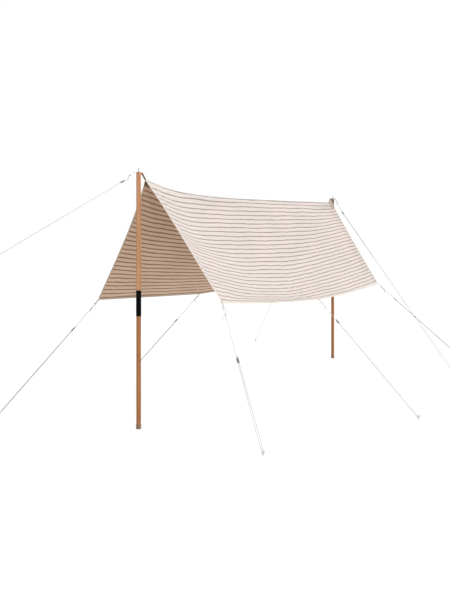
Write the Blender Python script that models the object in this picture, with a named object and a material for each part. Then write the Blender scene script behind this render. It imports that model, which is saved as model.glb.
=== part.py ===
"""Sun canopy: one striped cloth over two jointed wooden poles, held taut by eight guy ropes.

Metres, +Z up. The origin is on the ground under the front pole. +X runs along the ridge to the
back pole, so the left side is +Y and the right side is -Y.
"""

import math

import bmesh
import bpy
from mathutils import Matrix, Vector

# Poles
POLE_HEIGHT = 2.0
POLE_SPACING = 3.6
POLE_RADIUS = 0.0185
POLE_JOINT_HEIGHT = 0.98
SLEEVE_BOTTOM = 0.88
SLEEVE_TOP = 1.08
SLEEVE_RADIUS = 0.0205
FOOT_CAP_RADIUS = 0.0205
FOOT_CAP_HEIGHT = 0.036
FOOT_CAP_FLOOR = 0.004
SPIKE_RADIUS = 0.004
SPIKE_TOP = 2.036
SPIKE_SOCKET_DEPTH = 0.04
SPIKE_TIP_LENGTH = 0.003
SPIKE_TIP_SHARE = 0.4
CHAMFER = 0.0015

# Cloth, as the line of its ridge, its hem corners and how far it bows between them
APEX_SETBACK_FRONT, APEX_SETBACK_BACK = 0.080, 0.030
RIDGE_LINE = (
    (0.00, 1.950), (0.03, 1.930), (0.08, 1.899), (0.16, 1.877), (0.30, 1.871),
    (0.50, 1.888), (0.74, 1.915), (0.92, 1.939), (1.00, 1.952),
)
HEM_SETBACK_FRONT, HEM_SETBACK_BACK = 0.205, 0.162
HEM_HALF_WIDTH = 0.656
HEM_HEIGHT = {
    "front_right": 1.000, "back_right": 0.967,
    "front_left": 0.955, "back_left": 0.955,
}
HEM_BOW_OUT = {"right": 0.042, "left": 0.067}
HEM_BOW_DOWN = {"right": 0.073, "left": 0.060}
# The middle tab sits on a column of the cloth's grid, and draws the hem's curve out to a point
CLOTH_COLUMNS = 29
CLOTH_ROWS_A_SIDE = 11
MIDDLE_TAB_AT = 14 / CLOTH_COLUMNS
HEM_POINTED = {"right": 0.35, "left": 0.95}
# The front edge is cut in, more so in its upper half
FRONT_EDGE_CUT = 0.024
FRONT_EDGE_CUT_SKEW = 0.85
# Each panel hangs hollow, inward and down, a little at its end edges and most at mid-span.
# The powers set where down the fall it is deepest, and how fast it fades towards the ends.
EDGE_HOLLOW = 0.008
PANEL_HOLLOW = {"right": 0.13, "left": 0.073}
HOLLOW_POWER_AT_RIDGE = {"right": 1.25, "left": 0.96}
HOLLOW_POWER_AT_HEM = {"right": 0.85, "left": 1.10}
HOLLOW_POWER_ALONG = {"right": 0.8, "left": 2.5}
HOLLOW_INWARD = 0.82
HOLLOW_DOWNWARD = 0.57
# Two long creases cross the right panel, between a broad dip. Each crease has its depth at the
# ridge and at the hem, its half width as a share of the length, and its line as (down, along).
CREASES = {
    "right": (
        (0.045, 0.0254, 0.217, (
            (0.02, 1.000), (0.20, 0.897), (0.40, 0.760), (0.60, 0.582), (0.80, 0.425), (0.98, 0.350),
        )),
        (0.030, 0.0169, 0.145, (
            (0.05, 0.258), (0.25, 0.218), (0.45, 0.236), (0.62, 0.255), (0.80, 0.237), (0.97, 0.100),
        )),
    ),
    "left": (),
}
CREASE_SOFTNESS = 0.03
# Depth of the dip, then its place and spread along the panel and down it
DIPS = {
    "right": (0.0181, 0.724, 0.742, 0.627, 0.240),
    "left": (0.0, 0.5, 0.5, 0.5, 0.5),
}
CLOTH_THICKNESS = 0.002

# Straps, tabs, ropes, sliders and pegs
STRAP_WIDTH = 0.022
STRAP_THICKNESS = 0.0025
STRAP_OVERHANG = 0.014
STRAP_FLAT_LENGTH = {"front": 0.032, "back": 0.020}
STRAP_BEND_LENGTH = 0.007
STRAP_BEND_DROP = 0.0035
STRAP_HOLE_RADIUS = 0.0048
STRAP_HOLE_CUT = 0.01
TAB_WIDTH = 0.022
TAB_THICKNESS = 0.002
TAB_LENGTH = 0.045
TAB_SEAM = 0.9
TAB_DROOP = 0.15
ROPE_RADIUS = 0.002
ROPE_EYE_LENGTH = 0.08
ROPE_EYE_CLEARANCE = 0.010
ROPE_EYE_HALF_SPREAD = 0.004
ROPE_LEAD = 0.008
SLIDER_SIZE = (0.038, 0.019, 0.0075)
SLIDER_BEVEL = 0.0015
SLIDER_BORE_OFFSET = 0.0045
SLIDER_BORE_RADIUS = 0.0024
SLIDER_LEAD = 0.004
LOOP_SPREAD_AT = 0.92
PEG_RADIUS = 0.003
PEG_SHANK_HEIGHT = 0.030
PEG_HOOK_RADIUS = 0.0075
PEG_HOOK_TIP_DROP = 0.008
ROPE_HEIGHT_AT_PEG = 0.014

# Each peg's place on the ground, how far down its rope the slider sits, and how far each strand
# of the loop below the slider stands off the rope's line
GUYS = {
    "front": {"peg": (-4.04, 0.0), "slider": 0.205, "spread": 0.009},
    "back": {"peg": (3.15, -1.635), "slider": 0.253, "spread": 0.017},
    "front_right": {"peg": (0.015, -1.12), "slider": 0.392, "spread": 0.009},
    "front_left": {"peg": (-0.593, 1.037), "slider": 0.274, "spread": 0.009},
    "mid_right": {"peg": (1.478, -1.732), "slider": 0.238, "spread": 0.009},
    "mid_left": {"peg": (1.872, 1.71), "slider": 0.418, "spread": 0.009},
    "back_right": {"peg": (4.16, -1.480), "slider": 0.233, "spread": 0.009},
    "back_left": {"peg": (4.16, 1.480), "slider": 0.274, "spread": 0.009},
}

# Neighbouring faces stop this far short of each other
GAP = 0.0003
POLE_SIDES = 28
PIN_SIDES = 16
ARC_STEPS = 8


def clear_scene():
    for thing in list(bpy.data.objects):
        bpy.data.objects.remove(thing, do_unlink=True)


def make_material(name, colour, roughness, metallic=0.0):
    material = bpy.data.materials.new(name)
    material.use_nodes = True
    shader = material.node_tree.nodes["Principled BSDF"]
    shader.inputs["Base Color"].default_value = (*colour, 1.0)
    shader.inputs["Roughness"].default_value = roughness
    shader.inputs["Metallic"].default_value = metallic
    return material


def add_object(name, data, material):
    thing = bpy.data.objects.new(name, data)
    bpy.context.scene.collection.objects.link(thing)
    data.materials.append(material)
    return thing


def mesh_from_bmesh(name, bm, smooth_angle=40.0):
    bmesh.ops.recalc_face_normals(bm, faces=bm.faces)
    mesh = bpy.data.meshes.new(name)
    bm.to_mesh(mesh)
    bm.free()
    mesh.shade_smooth()
    mesh.set_sharp_from_angle(angle=math.radians(smooth_angle))
    return mesh


def turned_mesh(name, profile, sides, hollow=False):
    """Turn (radius, height) points about Z: an open profile gets end caps, a hollow one closes up."""
    bm = bmesh.new()
    rings = []
    for radius, height in profile:
        ring = []
        for step in range(sides):
            angle = 2.0 * math.pi * step / sides
            ring.append(bm.verts.new((radius * math.cos(angle), radius * math.sin(angle), height)))
        rings.append(ring)
    pairs = list(zip(rings, rings[1:]))
    if hollow:
        pairs.append((rings[-1], rings[0]))
    else:
        bm.faces.new(rings[0])
        bm.faces.new(rings[-1])
    for lower, upper in pairs:
        for step in range(sides):
            after = (step + 1) % sides
            bm.faces.new((lower[step], lower[after], upper[after], upper[step]))
    return mesh_from_bmesh(name, bm)


def pole_top(pole_x):
    return Vector((pole_x, 0.0, POLE_HEIGHT))


# Poles: two wooden sections in a black sleeve, a foot cap below and a steel spike on top


def build_pole(end, pole_x, materials):
    bore = SPIKE_RADIUS + GAP
    lower = [
        (POLE_RADIUS, FOOT_CAP_FLOOR + GAP),
        (POLE_RADIUS, POLE_JOINT_HEIGHT - GAP / 2),
    ]
    upper = [
        (POLE_RADIUS, POLE_JOINT_HEIGHT + GAP / 2),
        (POLE_RADIUS, POLE_HEIGHT - CHAMFER),
        (POLE_RADIUS - CHAMFER, POLE_HEIGHT),
        (bore, POLE_HEIGHT),
        (bore, POLE_HEIGHT - SPIKE_SOCKET_DEPTH),
    ]
    sleeve = [
        (POLE_RADIUS + GAP, SLEEVE_BOTTOM),
        (SLEEVE_RADIUS, SLEEVE_BOTTOM),
        (SLEEVE_RADIUS, SLEEVE_TOP),
        (POLE_RADIUS + GAP, SLEEVE_TOP),
    ]
    foot = [
        (FOOT_CAP_RADIUS, 0.0),
        (FOOT_CAP_RADIUS, FOOT_CAP_HEIGHT - CHAMFER),
        (FOOT_CAP_RADIUS - CHAMFER / 2, FOOT_CAP_HEIGHT),
        (POLE_RADIUS + GAP, FOOT_CAP_HEIGHT),
        (POLE_RADIUS + GAP, FOOT_CAP_FLOOR),
    ]
    spike = [
        (SPIKE_RADIUS, POLE_HEIGHT - SPIKE_SOCKET_DEPTH + GAP),
        (SPIKE_RADIUS, SPIKE_TOP - SPIKE_TIP_LENGTH),
        (SPIKE_RADIUS * SPIKE_TIP_SHARE, SPIKE_TOP),
    ]
    pieces = (
        ("lower", turned_mesh("lower", lower, POLE_SIDES), materials["wood"]),
        ("upper", turned_mesh("upper", upper, POLE_SIDES), materials["wood"]),
        ("sleeve", turned_mesh("sleeve", sleeve, POLE_SIDES, hollow=True), materials["black"]),
        ("foot", turned_mesh("foot", foot, POLE_SIDES), materials["rubber"]),
        ("spike", turned_mesh("spike", spike, PIN_SIDES), materials["steel"]),
    )
    for piece, mesh, material in pieces:
        thing = add_object(f"{end}_pole_{piece}", mesh, material)
        thing.location.x = pole_x


# Cloth: a ridge line, two hems, and falls between them that hang hollow


def ridge_point(along):
    """Point on the ridge, on a smooth curve through the ridge line's own points."""
    stations = [station for station, _ in RIDGE_LINE]
    heights = [height for _, height in RIDGE_LINE]
    last = len(stations) - 1
    index = min(max(sum(station <= along for station in stations) - 1, 0), last - 1)
    slopes = []
    for near in (index, index + 1):
        before, after = max(near - 1, 0), min(near + 1, last)
        slopes.append((heights[after] - heights[before]) / (stations[after] - stations[before]))
    span = stations[index + 1] - stations[index]
    t = (along - stations[index]) / span
    height = (
        heights[index] * (2 * t**3 - 3 * t**2 + 1)
        + heights[index + 1] * (3 * t**2 - 2 * t**3)
        + slopes[0] * span * (t**3 - 2 * t**2 + t)
        + slopes[1] * span * (t**3 - t**2)
    )
    ridge_length = POLE_SPACING - APEX_SETBACK_FRONT - APEX_SETBACK_BACK
    return Vector((APEX_SETBACK_FRONT + ridge_length * along, 0.0, height))


def hem_point(side, along):
    """Point on the hem; side is "left" or "right" and along runs 0 to 1 from front to back."""
    outward = 1.0 if side == "left" else -1.0
    curve = 1.0 - (2.0 * along - 1.0) ** 2
    tent = min(along / MIDDLE_TAB_AT, (1.0 - along) / (1.0 - MIDDLE_TAB_AT))
    bow = curve + (tent - curve) * HEM_POINTED[side]
    front, back = HEM_HEIGHT[f"front_{side}"], HEM_HEIGHT[f"back_{side}"]
    hem_length = POLE_SPACING - HEM_SETBACK_FRONT - HEM_SETBACK_BACK
    return Vector((
        HEM_SETBACK_FRONT + hem_length * along,
        outward * (HEM_HALF_WIDTH + HEM_BOW_OUT[side] * bow),
        front + (back - front) * along - HEM_BOW_DOWN[side] * bow,
    ))


def ease(value):
    value = min(max(value, 0.0), 1.0)
    return value * value * (3.0 - 2.0 * value)


def line_place(line, down):
    """Place along the panel where a crease's line crosses a level down the fall."""
    if down <= line[0][0]:
        return line[0][1]
    for (down_a, along_a), (down_b, along_b) in zip(line, line[1:]):
        if down <= down_b:
            return along_a + (along_b - along_a) * (down - down_a) / (down_b - down_a)
    return line[-1][1]


def crease_depth(side, along, down):
    """Depth that the creases and the dip add, fading out at the ridge, the hem and the ends."""
    total = 0.0
    for at_ridge, at_hem, half_width, line in CREASES[side]:
        off = math.hypot((along - line_place(line, down)) / half_width, CREASE_SOFTNESS)
        depth = at_ridge * (1.0 - down) + at_hem * down
        ends = ease((down + 0.02) / 0.12) * ease((1.0 - down) / 0.12)
        total += depth * ends * max(1.0 - off, 0.0)
    depth, centre_along, spread_along, centre_down, spread_down = DIPS[side]
    far = ((along - centre_along) / spread_along) ** 2 + ((down - centre_down) / spread_down) ** 2
    total += depth * math.exp(-far)
    rim = min(min(down, 1.0 - down) / 0.06, min(along, 1.0 - along) / 0.03)
    return total * ease(rim)


def fall_hollow(side, along, down):
    """Depth of the cloth below a straight line from ridge to hem."""
    at_ridge, at_hem = HOLLOW_POWER_AT_RIDGE[side], HOLLOW_POWER_AT_HEM[side]
    peak = at_ridge / (at_ridge + at_hem)
    deepest = peak**at_ridge * (1.0 - peak) ** at_hem
    middle = max(1.0 - (2.0 * along - 1.0) ** 2, 0.0) ** HOLLOW_POWER_ALONG[side]
    curve = down**at_ridge * (1.0 - down) ** at_hem / deepest
    belly = 4.0 * down * (1.0 - down)
    return PANEL_HOLLOW[side] * middle * curve + EDGE_HOLLOW * (1.0 - middle) * belly


def cloth_point(side, along, down):
    """Point on the cloth, down 0 on the ridge and 1 on the hem."""
    outward = 1.0 if side == "left" else -1.0
    point = ridge_point(along).lerp(hem_point(side, along), down)
    hollow = fall_hollow(side, along, down) + crease_depth(side, along, down)
    point.y -= outward * HOLLOW_INWARD * hollow
    point.z -= HOLLOW_DOWNWARD * hollow
    belly = 4.0 * down * (1.0 - down)
    skew = 1.0 + FRONT_EDGE_CUT_SKEW * (1.0 - 2.0 * down)
    point.x += FRONT_EDGE_CUT * belly * skew * max(1.0 - 2.0 * along, 0.0)
    return point


def build_cloth(materials):
    falls = [("right", 1.0 - row / CLOTH_ROWS_A_SIDE) for row in range(CLOTH_ROWS_A_SIDE)]
    falls += [("left", row / CLOTH_ROWS_A_SIDE) for row in range(CLOTH_ROWS_A_SIDE + 1)]
    bm = bmesh.new()
    rows = []
    for side, down in falls:
        rows.append([
            bm.verts.new(cloth_point(side, column / CLOTH_COLUMNS, down))
            for column in range(CLOTH_COLUMNS + 1)
        ])
    for lower, upper in zip(rows, rows[1:]):
        for column in range(CLOTH_COLUMNS):
            bm.faces.new((lower[column], lower[column + 1], upper[column + 1], upper[column]))
    cloth = add_object("canopy_sheet", mesh_from_bmesh("canopy_sheet", bm), materials["cloth"])
    skin = cloth.modifiers.new("Thickness", "SOLIDIFY")
    skin.thickness = CLOTH_THICKNESS
    skin.offset = -1.0
    skin.use_even_offset = True
    return cloth


# Straps and tabs: flat webbing swept along a short path


def webbing_mesh(name, path, across, width, thickness):
    """Sweep a flat strip along a path; across is the direction of its width."""
    bm = bmesh.new()
    sections = []
    for index, point in enumerate(path):
        before, after = path[max(index - 1, 0)], path[min(index + 1, len(path) - 1)]
        normal = (after - before).cross(across).normalized()
        section = []
        for wide, thick in ((-1, -1), (1, -1), (1, 1), (-1, 1)):
            offset = across * (wide * width / 2) + normal * (thick * thickness / 2)
            section.append(bm.verts.new(point + offset))
        sections.append(section)
    for first, second in zip(sections, sections[1:]):
        for corner in range(4):
            after = (corner + 1) % 4
            bm.faces.new((first[corner], first[after], second[after], second[corner]))
    bm.faces.new(sections[0])
    bm.faces.new(sections[-1])
    return mesh_from_bmesh(name, bm)


def build_ridge_strap(end, pole_x, inward, apex, materials):
    """Strap from the spike over the pole's top edge and down to the cloth's apex."""
    seat = POLE_HEIGHT + GAP + STRAP_THICKNESS / 2
    flat_end = STRAP_FLAT_LENGTH[end]
    bend_end = flat_end + STRAP_BEND_LENGTH
    path = [
        Vector((pole_x - inward * STRAP_OVERHANG, 0.0, seat)),
        Vector((pole_x + inward * flat_end, 0.0, seat)),
        Vector((pole_x + inward * bend_end, 0.0, seat - STRAP_BEND_DROP)),
        apex + Vector((-inward * 2 * GAP, 0.0, 2 * GAP)),
    ]
    mesh = webbing_mesh("strap", path, Vector((0.0, 1.0, 0.0)), STRAP_WIDTH, STRAP_THICKNESS)
    strap = add_object(f"{end}_ridge_strap", mesh, materials["leather"])
    profile = [
        (STRAP_HOLE_RADIUS, POLE_HEIGHT - STRAP_HOLE_CUT),
        (STRAP_HOLE_RADIUS, SPIKE_TOP + STRAP_HOLE_CUT),
    ]
    cutter = add_object(f"{end}_strap_hole", turned_mesh("hole", profile, PIN_SIDES), materials["steel"])
    cutter.location.x = pole_x
    cutter.hide_render = True
    cutter.display_type = "WIRE"
    hole = strap.modifiers.new("Hole", "BOOLEAN")
    hole.operation = "DIFFERENCE"
    hole.solver = "EXACT"
    hole.object = cutter


def build_tab(where, peg, materials):
    """Webbing tab along the rope's pull, drooping a little; returns the rope's first points."""
    place, side = where.split("_")
    outward = 1.0 if side == "left" else -1.0
    along = {"front": 0.0, "mid": MIDDLE_TAB_AT, "back": 1.0}[place]
    anchor = hem_point(side, along)
    fall = anchor - cloth_point(side, along, TAB_SEAM)
    fall.x = 0.0
    pull = (peg - anchor).normalized()
    if place == "mid":
        pull.x = 0.0
    direction = (pull - Vector((0.0, 0.0, TAB_DROOP))).normalized()
    panel_normal = fall.cross(Vector((outward, 0.0, 0.0))).normalized()
    across = direction.cross(panel_normal).normalized()
    start = anchor + direction * 2 * GAP
    end = start + direction * TAB_LENGTH
    mesh = webbing_mesh("tab", [start, end], across, TAB_WIDTH, TAB_THICKNESS)
    add_object(f"{where}_tab", mesh, materials["webbing"])
    return [end + direction * GAP, end + direction * ROPE_LEAD]


# Guy ropes: one strand to the slider, then a loop round the peg and back to the slider


def tube_object(name, points, radius, material):
    curve = bpy.data.curves.new(name, "CURVE")
    curve.dimensions = "3D"
    curve.bevel_depth = radius
    curve.bevel_resolution = 2
    curve.render_resolution_u = 0
    curve.use_fill_caps = True
    spline = curve.splines.new("POLY")
    spline.points.add(len(points) - 1)
    for spot, point in zip(spline.points, points):
        spot.co = (*point, 1.0)
    return add_object(name, curve, material)


def rope_frame(start, peg):
    """Unit vectors along the rope and level across it."""
    along = (peg - start).normalized()
    across = along.cross(Vector((0.0, 0.0, 1.0))).normalized()
    return along, across


def loop_points(start, peg, slider_at, half_spread):
    """Route of a rope from the slider's upper end, round the peg and back into the slider."""
    along, across = rope_frame(start, peg)
    centre = start + along * slider_at
    half = SLIDER_SIZE[0] / 2
    outer, inner = across * SLIDER_BORE_OFFSET, across * -SLIDER_BORE_OFFSET
    spread = start.lerp(peg, LOOP_SPREAD_AT)
    points = [
        centre - along * (half + SLIDER_LEAD) + outer,
        centre + along * (half + SLIDER_LEAD) + outer,
        spread + across * half_spread,
    ]
    turn_radius = PEG_RADIUS + ROPE_RADIUS + GAP
    level = Vector((along.x, along.y, 0.0)).normalized()
    for step in range(ARC_STEPS + 1):
        angle = math.pi * step / ARC_STEPS
        points.append(peg + turn_radius * (across * math.cos(angle) + level * math.sin(angle)))
    points += [
        spread - across * half_spread,
        centre + along * (half + SLIDER_LEAD) + inner,
        centre + inner,
    ]
    return points


def eye_points(pole_x, start, aim):
    """Eye of a pole guy: from its knot, round the spike on the strap, and back to its knot."""
    level = Vector((aim.x - start.x, aim.y - start.y, 0.0)).normalized()
    across = level.cross(Vector((0.0, 0.0, 1.0))).normalized()
    turn_radius = SPIKE_RADIUS + ROPE_RADIUS + GAP
    spike = Vector((pole_x, 0.0, start.z))
    edge = spike + level * (POLE_RADIUS + ROPE_EYE_CLEARANCE)
    knot = edge + (aim - edge).normalized() * ROPE_EYE_LENGTH
    points = [knot - across * (ROPE_RADIUS + GAP), edge - across * ROPE_EYE_HALF_SPREAD]
    for step in range(ARC_STEPS + 1):
        angle = math.pi * step / ARC_STEPS
        points.append(spike - turn_radius * (across * math.cos(angle) + level * math.sin(angle)))
    points += [edge + across * ROPE_EYE_HALF_SPREAD, knot + across * (ROPE_RADIUS + GAP)]
    return points


def slider_mesh(material):
    """Flat runner with two bores along its length, one for each strand."""
    bm = bmesh.new()
    bmesh.ops.create_cube(bm, size=1.0, matrix=Matrix.Diagonal((*SLIDER_SIZE, 1.0)))
    bmesh.ops.bevel(bm, geom=bm.edges, offset=SLIDER_BEVEL, segments=2, affect="EDGES", profile=0.5)
    plain = add_object("slider_blank", mesh_from_bmesh("slider_blank", bm), material)
    cutters = []
    for side in (-1, 1):
        profile = [(SLIDER_BORE_RADIUS, -SLIDER_SIZE[0]), (SLIDER_BORE_RADIUS, SLIDER_SIZE[0])]
        cutter = add_object("slider_bore", turned_mesh("bore", profile, PIN_SIDES), material)
        cutter.matrix_world = (
            Matrix.Translation((0.0, side * SLIDER_BORE_OFFSET, 0.0)) @ Matrix.Rotation(math.pi / 2, 4, "Y")
        )
        bore = plain.modifiers.new("Bore", "BOOLEAN")
        bore.operation = "DIFFERENCE"
        bore.solver = "EXACT"
        bore.object = cutter
        cutters.append(cutter)
    bpy.context.view_layer.update()
    finished = bpy.data.meshes.new_from_object(plain.evaluated_get(bpy.context.evaluated_depsgraph_get()))
    for thing in (plain, *cutters):
        bpy.data.objects.remove(thing, do_unlink=True)
    finished.materials.clear()
    return finished


def build_slider(where, start, peg, slider_at, mesh, materials):
    along, across = rope_frame(start, peg)
    slider = add_object(f"{where}_slider", mesh.copy(), materials["black"])
    turn = Matrix((along, across, along.cross(across))).transposed().to_4x4()
    slider.matrix_world = Matrix.Translation(start + along * slider_at) @ turn


def build_peg(where, start, ground, materials):
    """Round steel peg, from the ground up: a shank and a hook that points away from the canopy."""
    away = Vector((ground.x - start.x, ground.y - start.y, 0.0)).normalized()
    points = [ground.copy(), ground + Vector((0.0, 0.0, PEG_SHANK_HEIGHT))]
    hook = ground + away * PEG_HOOK_RADIUS + Vector((0.0, 0.0, PEG_SHANK_HEIGHT))
    for step in range(1, ARC_STEPS + 1):
        angle = math.pi * step / ARC_STEPS
        lift = Vector((0.0, 0.0, math.sin(angle)))
        points.append(hook + PEG_HOOK_RADIUS * (lift - away * math.cos(angle)))
    points.append(points[-1] - Vector((0.0, 0.0, PEG_HOOK_TIP_DROP)))
    tube_object(f"{where}_peg", points, PEG_RADIUS, materials["steel"])


def build_guy(where, spec, mesh, materials):
    ground = Vector((*spec["peg"], 0.0))
    peg = ground + Vector((0.0, 0.0, ROPE_HEIGHT_AT_PEG))
    if "_" in where:
        head = build_tab(where, peg, materials)
        start = head[-1]
    else:
        pole_x = 0.0 if where == "front" else POLE_SPACING
        start = pole_top(pole_x) + Vector((0.0, 0.0, STRAP_THICKNESS + ROPE_RADIUS + 2 * GAP))
        head = eye_points(pole_x, start, peg)
    loop = loop_points(start, peg, spec["slider"], spec["spread"])
    tube_object(f"{where}_guy_rope", head + loop, ROPE_RADIUS, materials["rope"])
    build_slider(where, start, peg, spec["slider"], mesh, materials)
    build_peg(where, start, ground, materials)


def main():
    clear_scene()
    materials = {
        "cloth": make_material("striped_cloth", (0.83, 0.76, 0.69), 0.9),
        "wood": make_material("oiled_wood", (0.55, 0.31, 0.17), 0.5),
        "black": make_material("black_plastic", (0.02, 0.02, 0.02), 0.45),
        "rubber": make_material("grey_rubber", (0.10, 0.10, 0.10), 0.7),
        "steel": make_material("steel", (0.55, 0.56, 0.58), 0.35, metallic=1.0),
        "leather": make_material("tan_leather", (0.45, 0.22, 0.10), 0.6),
        "webbing": make_material("cream_webbing", (0.78, 0.72, 0.63), 0.85),
        "rope": make_material("cream_rope", (0.82, 0.78, 0.70), 0.8),
    }
    build_pole("front", 0.0, materials)
    build_pole("back", POLE_SPACING, materials)
    build_cloth(materials)
    build_ridge_strap("front", 0.0, 1.0, ridge_point(0.0), materials)
    build_ridge_strap("back", POLE_SPACING, -1.0, ridge_point(1.0), materials)
    mesh = slider_mesh(materials["black"])
    for where, spec in GUYS.items():
        build_guy(where, spec, mesh, materials)


main()
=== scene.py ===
# %% [markdown]
# # A striped sun canopy
#
# The canopy is one cloth folded over a ridge line between two wooden poles. Eight guy ropes hold
# it taut: one from each pole's top, one from each corner and one from the middle of each hem.
#
# The CAD model is loaded first and stays fixed. It holds every size, and this lesson dresses it:
# the poles, sliders and pegs get materials, and the cloth, webbing and ropes get finer shapes.

# %% Load the frame
import math

import bmesh
import bpy
import numpy as np
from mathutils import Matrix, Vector, noise


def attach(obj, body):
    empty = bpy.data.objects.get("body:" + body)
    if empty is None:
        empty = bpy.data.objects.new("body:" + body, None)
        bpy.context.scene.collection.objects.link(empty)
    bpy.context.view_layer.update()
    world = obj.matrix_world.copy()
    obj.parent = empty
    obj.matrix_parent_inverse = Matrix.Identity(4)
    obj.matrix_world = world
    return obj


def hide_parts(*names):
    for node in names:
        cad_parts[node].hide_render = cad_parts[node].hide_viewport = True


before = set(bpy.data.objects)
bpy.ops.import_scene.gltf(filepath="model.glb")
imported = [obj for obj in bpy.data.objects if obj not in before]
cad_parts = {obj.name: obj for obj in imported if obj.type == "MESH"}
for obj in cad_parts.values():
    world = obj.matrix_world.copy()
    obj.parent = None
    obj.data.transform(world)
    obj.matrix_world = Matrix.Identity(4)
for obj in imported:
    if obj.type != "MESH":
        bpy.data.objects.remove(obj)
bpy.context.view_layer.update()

# %% [markdown]
# ## Camera
#
# The picture is 450 x 600 pixels, with level verticals, so the camera is level and its frame is
# shifted down to take in the pole's foot, and half a pixel to the side. Its focal length is given
# in pixels and turned into millimetres on a 36 mm sensor that lies along the longer side.

# %% Camera
PICTURE_WIDTH, PICTURE_HEIGHT = 450.0, 600.0
FOCAL_PIXELS = 627.93
HORIZON_ROW = 241.57
MIDDLE_COLUMN = 225.5
CAMERA_SPOT = (-3.676, -3.320, 1.4616)
RIDGE_TURN = 55.788
SENSOR_WIDTH = 36.0


def add_camera():
    lens = bpy.data.cameras.new("camera")
    lens.sensor_width = SENSOR_WIDTH
    lens.lens = SENSOR_WIDTH * FOCAL_PIXELS / PICTURE_HEIGHT
    lens.shift_x = (PICTURE_WIDTH / 2.0 - MIDDLE_COLUMN) / PICTURE_HEIGHT
    lens.shift_y = (HORIZON_ROW - PICTURE_HEIGHT / 2.0) / PICTURE_HEIGHT
    lens.clip_end = 200.0
    camera = bpy.data.objects.new("camera", lens)
    camera.location = CAMERA_SPOT
    camera.rotation_euler = (math.pi / 2.0, 0.0, math.radians(-RIDGE_TURN))
    bpy.context.scene.collection.objects.link(camera)
    bpy.context.scene.camera = camera
    return camera


camera = add_camera()
print("lens", round(camera.data.lens, 2), "mm, shift", round(camera.data.shift_y, 4))

# %% [markdown]
# ## Studio
#
# A pale round floor under the canopy, plain white all the way to the horizon. Its finish comes
# later, with the hard ones.

# %% Studio floor
FLOOR_RADIUS, FLOOR_SIDES = 60.0, 64


def add_floor():
    ring = [
        (FLOOR_RADIUS * math.cos(turn), FLOOR_RADIUS * math.sin(turn), 0.0)
        for turn in np.linspace(0.0, 2.0 * math.pi, FLOOR_SIDES, endpoint=False)
    ]
    sheet = bpy.data.meshes.new("studio_floor")
    sheet.from_pydata(ring, [], [list(range(FLOOR_SIDES))])
    floor = bpy.data.objects.new("studio_floor", sheet)
    bpy.context.scene.collection.objects.link(floor)
    return floor


floor = add_floor()
bpy.context.scene.view_settings.view_transform = "Standard"
print("floor", 2.0 * FLOOR_RADIUS, "m across")

# %% [markdown]
# ## Shader helpers
#
# Every finish is built from nodes. These helpers add a node, set its options and join its inputs
# in one line, so that a finish reads like a recipe.

# %% Node helpers
def place(tree, kind, inputs=None, **options):
    """Add a node, set its options, and join each input to a socket or set it to a value."""
    node = tree.nodes.new(kind)
    for name, option in options.items():
        setattr(node, name, option)
    for key, source in (inputs or {}).items():
        if isinstance(source, bpy.types.NodeSocket):
            tree.links.new(source, node.inputs[key])
        else:
            node.inputs[key].default_value = source
    return node


def work_out(tree, operation, first, second=0.5, third=0.5):
    spec = {0: first, 1: second, 2: third}
    return place(tree, "ShaderNodeMath", spec, operation=operation).outputs[0]


def stretch(tree, vector, factors):
    """Vector times a factor for each axis, which draws a pattern out where the factor is small."""
    spec = {0: vector, 1: factors}
    return place(tree, "ShaderNodeVectorMath", spec, operation="MULTIPLY").outputs[0]


def fade(tree, value, low, high, low_to=0.0, high_to=1.0):
    """Smooth step from low_to, where value is low, to high_to, where it is high."""
    spec = {"Value": value, "From Min": low, "From Max": high, "To Min": low_to, "To Max": high_to}
    return place(tree, "ShaderNodeMapRange", spec, interpolation_type="SMOOTHSTEP").outputs["Result"]


def mix_colours(tree, factor, first, second):
    spec = {0: factor, 6: first, 7: second}
    return place(tree, "ShaderNodeMix", spec, data_type="RGBA").outputs[2]


def blend(tree, mask, strength, colour, over):
    """Colour with another over it where a mask is set."""
    return mix_colours(tree, work_out(tree, "MULTIPLY", mask, strength), colour, over)


def lighten(tree, colour, factor):
    """Colour times a factor near 1."""
    spec = {"Color": colour, "Value": factor}
    return place(tree, "ShaderNodeHueSaturation", spec).outputs["Color"]


def cloudy(tree, vector, scale, detail=3.0, roughness=0.5):
    spec = {"Vector": vector, "Scale": scale, "Detail": detail, "Roughness": roughness}
    return place(tree, "ShaderNodeTexNoise", spec).outputs["Fac"]

# %% Colour and group helpers
def tint(red, green, blue):
    """Colour given as 0 to 255 screen values, as the linear colour that nodes take."""
    parts = [value / 255.0 for value in (red, green, blue)]
    return (*[p / 12.92 if p <= 0.04045 else ((p + 0.055) / 1.055) ** 2.4 for p in parts], 1.0)


def new_group(name, inputs, outputs):
    """Shader node group with named inputs and outputs; returns it and its two ends."""
    group = bpy.data.node_groups.new(name, "ShaderNodeTree")
    kinds = {"float": "NodeSocketFloat", "vector": "NodeSocketVector", "colour": "NodeSocketColor"}
    for label, kind, start in inputs:
        socket = group.interface.new_socket(label, in_out="INPUT", socket_type=kinds[kind])
        if start is not None:
            socket.default_value = start
    for label, kind in outputs:
        group.interface.new_socket(label, in_out="OUTPUT", socket_type=kinds[kind])
    given, result = group.nodes.new("NodeGroupInput"), group.nodes.new("NodeGroupOutput")
    return group, given.outputs, result.inputs


def use_group(tree, group, inputs):
    return place(tree, "ShaderNodeGroup", inputs, node_tree=group).outputs

# %% [markdown]
# ## Soft light
#
# White light comes from all round, a little more of it from the right than from the left, which
# gives the round poles a dark and a bright side. One big soft lamp adds to it from the right and
# above. A sun lamp with a wide angle is used, because it lights all eight metres of rope alike,
# where an area lamp would fade along them. What is seen past the floor stays plain white.

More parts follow.
